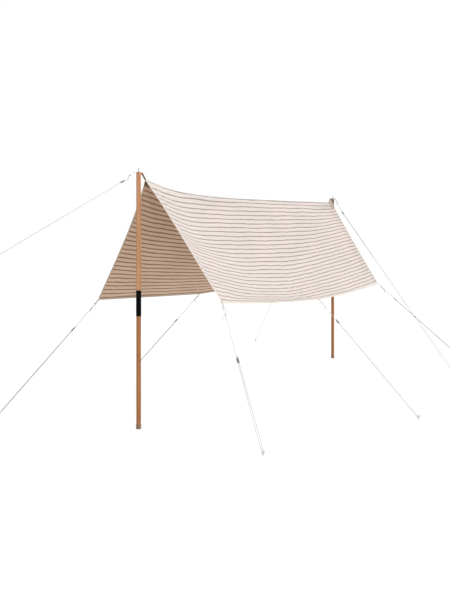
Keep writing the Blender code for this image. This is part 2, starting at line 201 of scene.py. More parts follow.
# %% Lights
SURROUND_LIGHT = (0.70, 1.20)
KEY_LIGHT, KEY_SPREAD = 1.6, 50.0
KEY_FROM = (0.25, -0.95, 1.35)
BRIGHT_SIDE = (0.562, -0.827, 0.0)


def add_lights():
    surround = bpy.data.worlds.new("studio")
    surround.use_nodes = True
    tree = surround.node_tree
    direction = place(tree, "ShaderNodeTexCoord").outputs["Generated"]
    spec = {0: direction, 1: BRIGHT_SIDE}
    sideways = place(tree, "ShaderNodeVectorMath", spec, operation="DOT_PRODUCT").outputs["Value"]
    strength = fade(tree, sideways, -1.0, 1.0, *SURROUND_LIGHT)
    seen = place(tree, "ShaderNodeLightPath").outputs["Is Camera Ray"]
    backdrop = tree.nodes["Background"]
    backdrop.inputs["Color"].default_value = (1.0, 1.0, 1.0, 1.0)
    tree.links.new(work_out(tree, "MAXIMUM", strength, seen), backdrop.inputs["Strength"])
    bpy.context.scene.world = surround
    lamp = bpy.data.lights.new("soft_key", "SUN")
    lamp.energy = KEY_LIGHT
    lamp.angle = math.radians(KEY_SPREAD)
    key = bpy.data.objects.new("soft_key", lamp)
    key.rotation_euler = Vector(KEY_FROM).to_track_quat("Z", "Y").to_euler()
    bpy.context.scene.collection.objects.link(key)


add_lights()
print("light from all round", SURROUND_LIGHT, "and from the lamp", KEY_LIGHT)

# %% [markdown]
# ## Shared effects
#
# Woven threads show on the canvas, its hems and the webbing, so the weave is one node group. It
# works in metres on the piece's own flat map: where a warp thread lies on top the surface is round
# across the warp, and where a weft thread does, round across the weft.

# %% Weave group
def build_weave():
    group, given, result = new_group(
        "plain weave",
        [
            ("Flat", "vector", None),
            ("Warp per metre", "float", 700.0), ("Weft per metre", "float", 700.0),
        ],
        [("Height", "float"), ("Shade", "float")],
    )
    spot = place(group, "ShaderNodeSeparateXYZ", {0: given["Flat"]}).outputs
    waves = []
    for axis, count in ((0, "Warp per metre"), (1, "Weft per metre")):
        turns = work_out(group, "MULTIPLY", spot[axis], given[count])
        waves.append(work_out(group, "SINE", work_out(group, "MULTIPLY", turns, math.pi)))
    over = work_out(group, "GREATER_THAN", work_out(group, "MULTIPLY", waves[0], waves[1]), 0.0)
    warp, weft = (work_out(group, "ABSOLUTE", wave) for wave in waves)
    height = place(group, "ShaderNodeMix", {0: over, 2: weft, 3: warp}).outputs[0]
    slubs = cloudy(group, given["Flat"], 160.0, 2.0)
    group.links.new(height, result["Height"])
    # Shade is painted shade, darker where the weave dips between threads, times the real unevenness of
    # the slubs.
    shade = work_out(group, "MULTIPLY_ADD", height, 0.10, 0.93)
    shade = work_out(group, "MULTIPLY", shade, fade(group, slubs, 0.25, 0.75, 0.965, 1.035))
    group.links.new(shade, result["Shade"])
    return group


WEAVE = build_weave()

# %% [markdown]
# The stripes are lines of darker yarn at an even spacing, counted from the ridge. The real ones
# wander a little, as yarn does when canvas is stretched, so a slow noise bends them and a finer
# one lets their colour come and go.

# %% Stripe group
def build_stripes():
    group, given, result = new_group(
        "woven stripes",
        [
            ("Flat", "vector", None), ("Spacing", "float", 0.043), ("Line width", "float", 0.011),
            ("Wander", "float", 0.003), ("Softness", "float", 0.002),
        ],
        [("Mask", "float"), ("Yarn", "float")],
    )
    spot = place(group, "ShaderNodeSeparateXYZ", {0: given["Flat"]}).outputs
    slow = cloudy(group, stretch(group, given["Flat"], (3.6, 9.0, 1.0)), 1.0, 2.0)
    reach = work_out(group, "MULTIPLY", given["Wander"], 4.0)
    across = work_out(group, "MULTIPLY_ADD", work_out(group, "SUBTRACT", slow, 0.5), reach, spot[1])
    count = work_out(group, "DIVIDE", across, given["Spacing"])
    part = work_out(group, "SUBTRACT", count, work_out(group, "ROUND", count))
    away = work_out(group, "MULTIPLY", work_out(group, "ABSOLUTE", part), given["Spacing"])
    half = work_out(group, "MULTIPLY", given["Line width"], 0.5)
    low, high = (work_out(group, way, half, given["Softness"]) for way in ("SUBTRACT", "ADD"))
    group.links.new(fade(group, away, low, high, 1.0, 0.0), result["Mask"])
    streaks = cloudy(group, stretch(group, given["Flat"], (9.0, 140.0, 1.0)), 1.0, 2.0)
    group.links.new(fade(group, streaks, 0.2, 0.8, 0.78, 1.0), result["Yarn"])
    return group


STRIPES = build_stripes()

# %% [markdown]
# Wood grain is a noise drawn out along the pole, with thin dark pores on top. Leather, rubber and
# moulded plastic share a fine pebbled grain. Handling marks are a streaky mask that makes a
# surface a little duller and paler. Dust gathers low down, on feet, pegs and the ends of ropes.

# %% Wood and pebble groups
def build_wood_grain():
    group, given, result = new_group(
        "wood grain", [("Spot", "vector", None), ("Fineness", "float", 1.0)],
        [("Rings", "float"), ("Pores", "float"), ("Height", "float")],
    )
    spec = {0: stretch(group, given["Spot"], (90.0, 90.0, 2.2)), 3: given["Fineness"]}
    sized = place(group, "ShaderNodeVectorMath", spec, operation="SCALE").outputs[0]
    rings = fade(group, cloudy(group, sized, 1.0, 4.0, 0.6), 0.28, 0.72)
    fine = stretch(group, given["Spot"], (700.0, 700.0, 18.0))
    pores = fade(group, cloudy(group, fine, 1.0, 1.0), 0.58, 0.74)
    group.links.new(rings, result["Rings"])
    group.links.new(pores, result["Pores"])
    group.links.new(work_out(group, "MULTIPLY_ADD", pores, -0.7, rings), result["Height"])
    return group


def build_pebble():
    group, given, result = new_group(
        "pebbled grain", [("Spot", "vector", None), ("Size", "float", 0.001)],
        [("Height", "float"), ("Shade", "float")],
    )
    scale = work_out(group, "DIVIDE", 1.0, given["Size"])
    spec = {"Vector": given["Spot"], "Scale": scale}
    cells = place(group, "ShaderNodeTexVoronoi", spec, feature="DISTANCE_TO_EDGE")
    height = fade(group, cells.outputs["Distance"], 0.0, 0.35)
    group.links.new(height, result["Height"])
    patches = cloudy(group, given["Spot"], work_out(group, "MULTIPLY", scale, 0.08), 3.0)
    broad = fade(group, patches, 0.2, 0.8, 0.88, 1.1)
    # Darker in the grooves between the grain's cells: painted shade, over broad patches of real tone.
    fine = work_out(group, "MULTIPLY_ADD", height, 0.14, 0.88)
    group.links.new(work_out(group, "MULTIPLY", broad, fine), result["Shade"])
    return group

# %% Handling and dust groups
def build_handling():
    group, given, result = new_group(
        "handling marks", [("Spot", "vector", None), ("Coverage", "float", 0.5)], [("Mask", "float")],
    )
    broad = cloudy(group, given["Spot"], 26.0, 4.0, 0.6)
    drawn = stretch(group, given["Spot"], (240.0, 240.0, 30.0))
    scratches = fade(group, cloudy(group, drawn, 1.0, 2.0), 0.6, 0.7)
    edge = work_out(group, "SUBTRACT", 0.75, work_out(group, "MULTIPLY", given["Coverage"], 0.4))
    worn = fade(group, broad, edge, work_out(group, "ADD", edge, 0.15))
    depth = work_out(group, "MULTIPLY_ADD", scratches, 0.6, 0.4)
    group.links.new(work_out(group, "MULTIPLY", worn, depth), result["Mask"])
    return group


def build_dust():
    group, given, result = new_group(
        "settled dust", [("Spot", "vector", None), ("Reach", "float", 0.1)], [("Mask", "float")],
    )
    height = place(group, "ShaderNodeSeparateXYZ", {0: given["Spot"]}).outputs[2]
    noisy = cloudy(group, given["Spot"], 45.0, 4.0)
    ragged = work_out(group, "MULTIPLY_ADD", noisy, given["Reach"], height)
    low, high = (work_out(group, "MULTIPLY", given["Reach"], part) for part in (0.4, 1.5))
    group.links.new(fade(group, ragged, low, high, 1.0, 0.0), result["Mask"])
    return group


WOOD_GRAIN = build_wood_grain()
PEBBLE = build_pebble()
HANDLING = build_handling()
DUST = build_dust()
print("shared effects:", [group.name for group in bpy.data.node_groups])

# %% [markdown]
# ## Canvas finishes
#
# The outside of the canvas is pale cream with thin grey-brown stripes. Its inside is painted tan
# with dark brown stripes: painted shade, warmed by painted light through the canvas, for the same
# cream canvas as it looks in its own shade. Both sides use the weave and the stripes, on the flat
# map in metres: x along the ridge, y across it. Hems and the hood over the back pole are the same
# canvas with no stripes to be seen, puckered where it is sewn; the hems' inner faces and the hood
# are coloured darker, as painted shade.

# %% Finish helpers
STRIPE_SPACING = 0.0426
CANVAS_YARN = {"Warp per metre": 820.0, "Weft per metre": 760.0}


def start_finish(name, roughness, metallic=0.0, gloss=0.3):
    finish = bpy.data.materials.new(name)
    finish.use_nodes = True
    tree = finish.node_tree
    shader = tree.nodes["Principled BSDF"]
    shader.inputs["Roughness"].default_value = roughness
    shader.inputs["Metallic"].default_value = metallic
    shader.inputs["Specular IOR Level"].default_value = gloss
    return finish, tree, shader


def add_bump(tree, shader, height, depth, strength=1.0):
    bump = place(tree, "ShaderNodeBump", {"Height": height, "Distance": depth, "Strength": strength})
    tree.links.new(bump.outputs["Normal"], shader.inputs["Normal"])


def flat_map(tree, name="flat"):
    return place(tree, "ShaderNodeUVMap", uv_map=name).outputs["UV"]

# %% Canvas
def canvas_finish(name, base, line, blotch, line_width, wander):
    finish, tree, shader = start_finish(name, 0.92)
    flat = flat_map(tree)
    weave = use_group(tree, WEAVE, {"Flat": flat, **CANVAS_YARN})
    stripes = use_group(tree, STRIPES, {
        "Flat": flat, "Spacing": STRIPE_SPACING, "Line width": line_width, "Wander": wander,
    })
    clouds = fade(tree, cloudy(tree, flat, 2.3, 4.0, 0.55), 0.3, 0.7)
    colour = mix_colours(tree, clouds, base, blotch)
    amount = work_out(tree, "MULTIPLY", stripes["Mask"], stripes["Yarn"])
    colour = mix_colours(tree, amount, colour, line)
    colour = lighten(tree, colour, weave["Shade"])
    tree.links.new(colour, shader.inputs["Base Color"])
    shader.inputs["Sheen Weight"].default_value = 0.08
    add_bump(tree, shader, weave["Height"], 0.00012)
    return finish


def plain_canvas_finish(name, base, blotch):
    finish, tree, shader = start_finish(name, 0.92)
    flat = flat_map(tree)
    weave = use_group(tree, WEAVE, {"Flat": flat, **CANVAS_YARN})
    ripples = cloudy(tree, stretch(tree, flat, (60.0, 14.0, 1.0)), 1.0, 2.0)
    colour = mix_colours(tree, fade(tree, ripples, 0.25, 0.75), base, blotch)
    tree.links.new(lighten(tree, colour, weave["Shade"]), shader.inputs["Base Color"])
    height = work_out(tree, "MULTIPLY_ADD", ripples, 2.5, weave["Height"])
    add_bump(tree, shader, height, 0.00018)
    return finish


CANVAS_OUT = canvas_finish(
    "striped canvas outside", base=tint(202, 191, 184), line=tint(129, 117, 110),
    blotch=tint(197, 188, 182), line_width=0.0096, wander=0.0045,
)
# The inside's tan and dark brown stripes are painted shade, warmed by painted light through the
# canvas: the same cream canvas as it looks under the canopy.
CANVAS_IN_PAINTED_SHADE = canvas_finish(
    "striped canvas inside, painted shade", base=tint(204, 177, 154), line=tint(124, 93, 67),
    blotch=tint(197, 169, 145), line_width=0.0125, wander=0.004,
)
HEM_OUT = plain_canvas_finish("hem canvas outside", tint(210, 201, 191), tint(202, 193, 183))
# The hem's inside is a darker copy of its canvas: painted shade.
HEM_IN_PAINTED_SHADE = plain_canvas_finish("hem canvas inside, painted shade", tint(184, 168, 150), tint(172, 156, 138))
# The hood is the same canvas in a darker copy: painted shade at the back pole's top.
HOOD_PAINTED_SHADE_CANVAS = plain_canvas_finish("hood canvas, painted shade", tint(172, 160, 150), tint(160, 148, 138))
print("canvas finishes with stripes every", STRIPE_SPACING, "m")

# %% [markdown]
# ## Thread, webbing, leather and rope finishes
#
# The tabs are pale webbing, and the straps run from tan leather at the pole to olive webbing at the
# cloth. The guy ropes are pale cord, most of them in darker copies of it, in steps, which paint the
# shade that each rope is seen in. Webbing is woven too, with coarser yarn. Thread and rope get a
# fine fibre noise, which reads the piece's place in the object.

# %% Webbing, fibre and leather
def object_spot(tree):
    return place(tree, "ShaderNodeTexCoord").outputs["Object"]


def webbing_finish(name, light, dark):
    finish, tree, shader = start_finish(name, 0.85)
    flat = flat_map(tree)
    weave = use_group(tree, WEAVE, {"Flat": flat, "Warp per metre": 420.0, "Weft per metre": 900.0})
    patches = fade(tree, cloudy(tree, object_spot(tree), 60.0, 3.0), 0.3, 0.7)
    colour = mix_colours(tree, patches, light, dark)
    tree.links.new(lighten(tree, colour, weave["Shade"]), shader.inputs["Base Color"])
    add_bump(tree, shader, weave["Height"], 0.0003)
    return finish


def fibre_finish(name, light, dark, fineness=1500.0):
    finish, tree, shader = start_finish(name, 0.8)
    spot = object_spot(tree)
    fibres = cloudy(tree, spot, fineness, 4.0, 0.7)
    soiled = fade(tree, cloudy(tree, spot, 9.0, 3.0), 0.35, 0.75)
    colour = mix_colours(tree, fade(tree, fibres, 0.3, 0.7), dark, light)
    colour = blend(tree, soiled, 0.35, colour, dark)
    dust = use_group(tree, DUST, {"Spot": spot, "Reach": 0.16})["Mask"]
    colour = blend(tree, dust, 0.4, colour, tint(168, 152, 130))
    tree.links.new(colour, shader.inputs["Base Color"])
    add_bump(tree, shader, fibres, 0.0004)
    return finish


def leather_finish(name, light, dark):
    finish, tree, shader = start_finish(name, 0.55)
    spot = object_spot(tree)
    grain = use_group(tree, PEBBLE, {"Spot": spot, "Size": 0.0011})
    worn = use_group(tree, HANDLING, {"Spot": spot, "Coverage": 0.6})["Mask"]
    colour = mix_colours(tree, fade(tree, cloudy(tree, spot, 70.0, 3.0), 0.3, 0.7), light, dark)
    colour = blend(tree, worn, 0.5, colour, tint(214, 160, 112))
    tree.links.new(lighten(tree, colour, grain["Shade"]), shader.inputs["Base Color"])
    tree.links.new(fade(tree, worn, 0.0, 1.0, 0.55, 0.38), shader.inputs["Roughness"])
    add_bump(tree, shader, grain["Height"], 0.00012)
    return finish

# %% Colours of the soft pieces
THREAD = fibre_finish("hem thread", tint(236, 226, 210), tint(206, 192, 172), 2500.0)
WEBBING = webbing_finish("pale webbing", tint(204, 204, 199), tint(188, 188, 183))
OLIVE_WEBBING = webbing_finish("olive webbing", tint(132, 118, 90), tint(104, 90, 66))
PALE_ROPE = fibre_finish("pale rope", tint(216, 216, 214), tint(201, 201, 199))
# Copies of the pale rope in steps: the darker ones are painted shade, for ropes seen in the canopy's
# shade.
LIGHT_SHADE_ROPE = fibre_finish("rope in light painted shade", tint(203, 203, 200), tint(187, 187, 184))
SHADED_ROPE = fibre_finish("rope in painted shade", tint(182, 182, 179), tint(165, 165, 162))
DEEPER_SHADE_ROPE = fibre_finish("rope in deeper painted shade", tint(162, 162, 159), tint(145, 145, 142))
DEEPEST_SHADE_ROPE = fibre_finish("rope in deepest painted shade", tint(122, 122, 120), tint(106, 106, 104))
TAN_CORD = fibre_finish("tan cord", tint(206, 170, 134), tint(176, 140, 104))
LEATHER = leather_finish("tan leather", tint(190, 122, 82), tint(160, 96, 60))
# The dark leather of the hood's bindings also paints the shade at the back pole's top.
DARK_LEATHER_AND_SHADE = leather_finish("dark leather and painted shade", tint(104, 88, 76), tint(84, 70, 60))
print("finishes so far:", len(bpy.data.materials))

# %% [markdown]
# ## Hard finishes
#
# The poles are oiled wood, the upper section a little paler than the lower. The sleeve is black
# coated tube, the foot caps brown-grey rubber, the sliders grey plastic, and spikes, pegs and
# eyelets are plated steel. The studio floor's grey glows a little, which makes up its white and
# keeps it even.

# %% Hard finishes
def wood_finish(name, pale, rich, fineness):
    finish, tree, shader = start_finish(name, 0.55, gloss=0.18)
    spot = object_spot(tree)
    grain = use_group(tree, WOOD_GRAIN, {"Spot": spot, "Fineness": fineness})
    colour = mix_colours(tree, grain["Rings"], rich, pale)
    broad = fade(tree, cloudy(tree, spot, 3.0, 3.0), 0.3, 0.7, 0.93, 1.06)
    colour = lighten(tree, colour, broad)
    colour = blend(tree, grain["Pores"], 0.45, colour, tint(112, 66, 38))
    dust = use_group(tree, DUST, {"Spot": spot, "Reach": 0.09})["Mask"]
    colour = blend(tree, dust, 0.35, colour, tint(170, 150, 128))
    tree.links.new(colour, shader.inputs["Base Color"])
    worn = use_group(tree, HANDLING, {"Spot": spot, "Coverage": 0.5})["Mask"]
    tree.links.new(fade(tree, worn, 0.0, 1.0, 0.58, 0.44), shader.inputs["Roughness"])
    add_bump(tree, shader, grain["Height"], 0.00015)
    return finish


def moulded_finish(name, shade_colour, worn_colour, grain_size, roughness, gloss=0.3):
    finish, tree, shader = start_finish(name, roughness, gloss=gloss)
    spot = object_spot(tree)
    grain = use_group(tree, PEBBLE, {"Spot": spot, "Size": grain_size})
    worn = use_group(tree, HANDLING, {"Spot": spot, "Coverage": 0.55})["Mask"]
    colour = blend(tree, worn, 0.5, shade_colour, worn_colour)
    dust = use_group(tree, DUST, {"Spot": spot, "Reach": 0.05})["Mask"]
    colour = blend(tree, dust, 0.45, colour, tint(150, 138, 122))
    tree.links.new(lighten(tree, colour, grain["Shade"]), shader.inputs["Base Color"])
    tree.links.new(fade(tree, worn, 0.0, 1.0, roughness, roughness + 0.2), shader.inputs["Roughness"])
    add_bump(tree, shader, grain["Height"], 0.00005)
    return finish


def plated_finish(name, bright, dull):
    finish, tree, shader = start_finish(name, 0.35, 1.0)
    spot = object_spot(tree)
    worn = use_group(tree, HANDLING, {"Spot": spot, "Coverage": 0.8})["Mask"]
    spangle = cloudy(tree, spot, 420.0, 2.0)
    dust = use_group(tree, DUST, {"Spot": spot, "Reach": 0.018})["Mask"]
    colour = blend(tree, dust, 0.5, mix_colours(tree, worn, bright, dull), tint(140, 122, 100))
    colour = lighten(tree, colour, fade(tree, spangle, 0.3, 0.7, 0.92, 1.05))
    tree.links.new(colour, shader.inputs["Base Color"])
    tree.links.new(fade(tree, worn, 0.0, 1.0, 0.3, 0.55), shader.inputs["Roughness"])
    tree.links.new(fade(tree, dust, 0.0, 1.0, 1.0, 0.35), shader.inputs["Metallic"])
    add_bump(tree, shader, spangle, 0.00005)
    return finish

# %% Colours of the hard pieces
WOOD_UPPER = wood_finish("oiled wood upper", tint(196, 147, 110), tint(166, 115, 79), 1.0)
WOOD_LOWER = wood_finish("oiled wood lower", tint(172, 119, 77), tint(141, 91, 52), 1.15)
BLACK_TUBE = moulded_finish(
    "black coated tube", tint(7, 7, 7), tint(22, 21, 20),
    grain_size=0.0007, roughness=0.36, gloss=0.04,
)
RUBBER = moulded_finish(
    "brown-grey rubber", tint(134, 100, 82), tint(160, 126, 107),
    grain_size=0.0012, roughness=0.75, gloss=0.2,
)
SLIDER_PLASTIC = moulded_finish(
    "slider plastic", tint(112, 114, 114), tint(140, 140, 138),
    grain_size=0.0006, roughness=0.45,
)
STEEL = plated_finish("plated steel", tint(196, 196, 200), tint(150, 150, 154))


def floor_finish():
    """Grey that glows: the glow makes up the white, so thin ropes in front keep their strength."""
    finish, tree, shader = start_finish("studio floor", 0.9)
    mottle = cloudy(tree, object_spot(tree), 0.6, 2.0)
    colour = mix_colours(tree, mottle, tint(88, 88, 88), tint(90, 90, 90))
    tree.links.new(colour, shader.inputs["Base Color"])
    shader.inputs["Emission Color"].default_value = (1.0, 1.0, 1.0, 1.0)
    shader.inputs["Emission Strength"].default_value = 0.905
    return finish


floor.data.materials.append(floor_finish())
print("finishes in all:", len(bpy.data.materials))

# %% [markdown]
# ## The cloth's surface
#
# The real cloth is pulled taut by its corners, so it is a saddle: each fall from the ridge to the
# hem hangs hollow, the ridge line itself dips between the poles, and the hems bow out and down. A
# rule says all of this better than a simulation, which would never settle on the same lines.
#
# The rule is the CAD cloth's own. Distances down each fall are measured along the curve, so that
# stripes and seams keep their real spacing.

# %% Surface rule
POLE_SPACING = 3.6
POLE_HEIGHT = 2.0
POLE_RADIUS = 0.0185
APEX_SETBACKS = (0.080, 0.030)
RIDGE_STATIONS = np.array([0.0, 0.03, 0.08, 0.16, 0.30, 0.50, 0.74, 0.92, 1.0])
RIDGE_HEIGHTS = np.array([1.950, 1.930, 1.899, 1.877, 1.871, 1.888, 1.915, 1.939, 1.952])
HEM_SETBACKS = (0.205, 0.162)
HEM_HALF_WIDTH = 0.656
HEM_HEIGHT = {"right": (1.000, 0.967), "left": (0.955, 0.955)}
HEM_BOW = {"right": (0.042, 0.073), "left": (0.067, 0.060)}
MIDDLE_TAB_AT = 14 / 29
HEM_POINTED = {"right": 0.35, "left": 0.95}
EDGE_CUT, EDGE_CUT_SKEW = 0.024, 0.85
EDGE_HOLLOW = 0.008
PANEL_HOLLOW = {"right": 0.13, "left": 0.073}
HOLLOW_INWARD, HOLLOW_DOWN = 0.82, 0.57
POWER_AT_RIDGE = {"right": 1.25, "left": 0.96}
POWER_AT_HEM = {"right": 0.85, "left": 1.10}
POWER_ALONG = {"right": 0.8, "left": 2.5}


def outward_sign(side):
    return 1.0 if side == "left" else -1.0


def between_poles(setbacks, along):
    """Distance from the front pole, for places between two setbacks from the poles."""
    return setbacks[0] + (POLE_SPACING - sum(setbacks)) * along


def ridge_line(along):
    """Ridge points for an array of places along it, 0 at the front and 1 at the back."""
    along = np.asarray(along, float)
    last = len(RIDGE_STATIONS) - 1
    near = np.clip(np.searchsorted(RIDGE_STATIONS, along, side="right") - 1, 0, last - 1)

    def slope(at):
        before, after = np.maximum(at - 1, 0), np.minimum(at + 1, last)
        rise = RIDGE_HEIGHTS[after] - RIDGE_HEIGHTS[before]
        return rise / (RIDGE_STATIONS[after] - RIDGE_STATIONS[before])

    span = RIDGE_STATIONS[near + 1] - RIDGE_STATIONS[near]
    t = (along - RIDGE_STATIONS[near]) / span
    height = RIDGE_HEIGHTS[near] * (2 * t**3 - 3 * t**2 + 1)
    height = height + RIDGE_HEIGHTS[near + 1] * (3 * t**2 - 2 * t**3)
    height = height + slope(near) * span * (t**3 - 2 * t**2 + t)
    height = height + slope(near + 1) * span * (t**3 - t**2)
    return np.stack([between_poles(APEX_SETBACKS, along), 0.0 * along, height], -1)


def hem_line(side, along):
    """Hem points: a bow between the corners, drawn out to a point by the middle tab."""
    along = np.asarray(along, float)
    curve = 1.0 - (2.0 * along - 1.0) ** 2
    tent = np.minimum(along / MIDDLE_TAB_AT, (1.0 - along) / (1.0 - MIDDLE_TAB_AT))
    bow = curve + (tent - curve) * HEM_POINTED[side]
    front, back = HEM_HEIGHT[side]
    out, down = HEM_BOW[side]
    return np.stack([
        between_poles(HEM_SETBACKS, along),
        outward_sign(side) * (HEM_HALF_WIDTH + out * bow),
        front + (back - front) * along - down * bow,
    ], -1)


def smooth_cloth(side, along, down):
    """CAD cloth: down is 0 on the ridge and 1 on the hem, along the straight line between them."""
    along, down = np.broadcast_arrays(np.asarray(along, float), np.asarray(down, float))
    ridge, hem = ridge_line(along), hem_line(side, along)
    points = ridge + (hem - ridge) * down[..., None]
    at_ridge, at_hem = POWER_AT_RIDGE[side], POWER_AT_HEM[side]
    peak = at_ridge / (at_ridge + at_hem)
    deepest = peak**at_ridge * (1.0 - peak) ** at_hem
    middle = np.maximum(1.0 - (2.0 * along - 1.0) ** 2, 0.0) ** POWER_ALONG[side]
    belly = 4.0 * down * (1.0 - down)
    hollow = PANEL_HOLLOW[side] * middle * down**at_ridge * (1.0 - down) ** at_hem / deepest
    hollow = hollow + EDGE_HOLLOW * (1.0 - middle) * belly
    points[..., 1] -= outward_sign(side) * HOLLOW_INWARD * hollow
    points[..., 2] -= HOLLOW_DOWN * hollow
    cut = EDGE_CUT * belly * (1.0 + EDGE_CUT_SKEW * (1.0 - 2.0 * down))
    points[..., 0] += cut * np.maximum(1.0 - 2.0 * along, 0.0)
    return points

# %% [markdown]
# On the real canopy the panels are not quite smooth. Two long creases cross the right one, where
# the pull of its corners ends, with a broad dip between them, and small ripples fan out from each
# place where the cloth is held. All are moves inwards along the surface's normal.
#
# A crease is a line down the panel, given by its places along the ridge at a few shares of the
# fall, with a depth at the ridge and at the hem and a half width. Its depth falls off evenly to
# both sides, which gives the straight flanks and the narrow valley of taut canvas.

# %% Creases and ripples
FLAT_LENGTH = 3.46
FLAT_FALL = 1.18
RIGHT_CREASES = [
    {
        "depth": (0.045, 0.0254), "half_width": 0.217, "softness": 0.034,
        "downs": (0.02, 0.20, 0.40, 0.60, 0.80, 0.98),
        "alongs": (1.0, 0.897, 0.760, 0.582, 0.425, 0.350),
    },
    {
        "depth": (0.030, 0.0169), "half_width": 0.145, "softness": 0.020,
        "downs": (0.05, 0.25, 0.45, 0.62, 0.80, 0.97),
        "alongs": (0.258, 0.218, 0.236, 0.255, 0.237, 0.100),
    },
]
DIP_DEPTH, DIP_CENTRE, DIP_SPREAD = 0.0181, (0.724, 0.627), (0.742, 0.240)
HELD_AT = ((0.0, 0.0), (1.0, 0.0), (0.0, 1.0), (1.0, 1.0), (MIDDLE_TAB_AT, 1.0))
FAN_REACH, FAN_DEPTH, FAN_FOLDS = 0.22, 0.0022, 13.0
SLOW_RIPPLE, FINE_RIPPLE = 0.0045, 0.0018


def ease(value):
    value = np.clip(value, 0.0, 1.0)
    return value * value * (3.0 - 2.0 * value)


def rim_distance(along, share, end_band, fall_band):
    """Distance to the nearest edge, the ridge included, in bands from the ends and down the fall."""
    to_ends = np.minimum(along, 1.0 - along) / end_band
    return np.minimum(np.minimum(share, 1.0 - share) / fall_band, to_ends)


def crease_depth(along, share):
    """Depth of the right panel's two creases and the dip between them."""
    total = np.zeros_like(along)
    for crease in RIGHT_CREASES:
        at_ridge, at_hem = crease["depth"]
        line = np.interp(share, crease["downs"], crease["alongs"])
        off = np.hypot((along - line) / crease["half_width"], crease["softness"])
        ends = ease((share + 0.02) / 0.12) * ease((1.0 - share) / 0.12)
        depth = at_ridge + (at_hem - at_ridge) * share
        total += depth * ends * np.maximum(1.0 - off, 0.0)
    far = ((along - DIP_CENTRE[0]) / DIP_SPREAD[0]) ** 2
    far = far + ((share - DIP_CENTRE[1]) / DIP_SPREAD[1]) ** 2
    total += DIP_DEPTH * np.exp(-far)
    return total * ease(rim_distance(along, share, 0.03, 0.06))


def ripple_depth(side, along, share):
    """Small folds that fan out from where the cloth is held, and a slow unevenness."""
    total = np.zeros_like(along)
    for number, (place_along, place_down) in enumerate(HELD_AT):
        across = (along - place_along) * FLAT_LENGTH
        fall = (share - place_down) * FLAT_FALL
        distance = np.hypot(across, fall)
        bearing = np.arctan2(fall, across)
        swell = distance / FAN_REACH * np.exp(1.0 - distance / FAN_REACH)
        total += FAN_DEPTH * swell * np.cos(FAN_FOLDS * bearing + 1.7 * number)
    lift = 7.3 if side == "left" else 0.0
    for corner, station in np.ndenumerate(along):
        slow = Vector((station * FLAT_LENGTH * 1.7, share[corner] * FLAT_FALL * 4.2, lift))
        fine = Vector((slow.x * 3.0, slow.y * 3.0, lift))
        total[corner] += SLOW_RIPPLE * noise.noise(slow) + FINE_RIPPLE * noise.noise(fine)
    return total * (0.15 + 0.85 * ease(rim_distance(along, share, 0.02, 0.05)))

# %% [markdown]
# The surface is worked out once, on a fine grid for each panel, with its outward normals. Every
# later piece on the cloth, such as a hem or a stitch, looks its place up in this grid.

# %% Fine grid
COLUMNS, ROWS = 208, 78
FINE_ROWS = 240


def grid_normals(points):
    along = np.gradient(points, axis=0)
    down = np.gradient(points, axis=1)
    normals = np.cross(along, down)
    return normals / np.linalg.norm(normals, axis=-1, keepdims=True)


def fall_lengths(track):
    """Distance down each fall, from the ridge, at every point of a track."""
    steps = np.linalg.norm(np.diff(track, axis=1), axis=-1)
    return np.concatenate([np.zeros((len(track), 1)), np.cumsum(steps, axis=1)], axis=1)


def outward_normals(points):
    normals = grid_normals(points)
    return normals * np.sign(normals[..., 2:3])


def fine_panel(side):
    """Points and outward normals at even places along and down, and the length of each fall."""
    alongs = np.linspace(0.0, 1.0, COLUMNS + 1)
    track = smooth_cloth(side, alongs[:, None], np.linspace(0.0, 1.0, FINE_ROWS + 1)[None, :])
    lengths = fall_lengths(track)
    shares = lengths / lengths[:, -1:]
    grid_along = np.broadcast_to(alongs[:, None], shares.shape)
    depth = ripple_depth(side, grid_along, shares)
    if side == "right":
        depth = depth + crease_depth(grid_along, shares)
    depth = depth * ease(shares / 0.04)
    track = track - outward_normals(track) * depth[..., None]
    lengths = fall_lengths(track)
    points = np.empty((COLUMNS + 1, ROWS + 1, 3))
    for column in range(COLUMNS + 1):
        even = np.linspace(0.0, lengths[column, -1], ROWS + 1)
        for axis in range(3):
            points[column, :, axis] = np.interp(even, lengths[column], track[column, :, axis])
    return points, outward_normals(points), lengths[:, -1]


PANELS = {side: fine_panel(side) for side in ("right", "left")}
ridge_normals = PANELS["right"][1][:, 0] + PANELS["left"][1][:, 0]
ridge_normals /= np.linalg.norm(ridge_normals, axis=-1, keepdims=True)
for side, (_, normals, falls) in PANELS.items():
    normals[:, 0] = ridge_normals
    ends_and_middle = np.round(falls[[0, COLUMNS // 2, COLUMNS]], 3)
    print(side, "fall", ends_and_middle, "m at front, middle and back")

# %% Places on the cloth
def on_cloth(side, along, share):
    """Point and outward normal anywhere on the fine grid, a little past its edges too."""
    points, normals, _ = PANELS[side]
    column, row = along * COLUMNS, share * ROWS
    i, j = int(min(max(column, 0), COLUMNS - 1)), int(min(max(row, 0), ROWS - 1))
    u, v = column - i, row - j
    weights = ((1 - u) * (1 - v), u * (1 - v), (1 - u) * v, u * v)
    corners = ((i, j), (i + 1, j), (i, j + 1), (i + 1, j + 1))
    point = sum(weight * points[corner] for weight, corner in zip(weights, corners))
    normal = sum(weight * normals[corner] for weight, corner in zip(weights, corners))
    return Vector(point), Vector(normal).normalized()

# %% [markdown]
# ## The cloth
#
# One sheet of canvas, made from the grid as a single mesh: up the right panel, over the ridge and
# down the left one. Solidify then gives it the thickness of canvas, inwards, and puts the inside
# finish, the tan of painted shade, on the inner face.
#
# Where the poles pull hard, the real weave is drawn askew and the right panel's stripes crowd
# together. The pattern carries that, not the shape: each place's spot on the flat map is moved
# across the stripes before they are drawn. The stripe on the ridge itself is drawn a little wider
# towards the front in the same way.

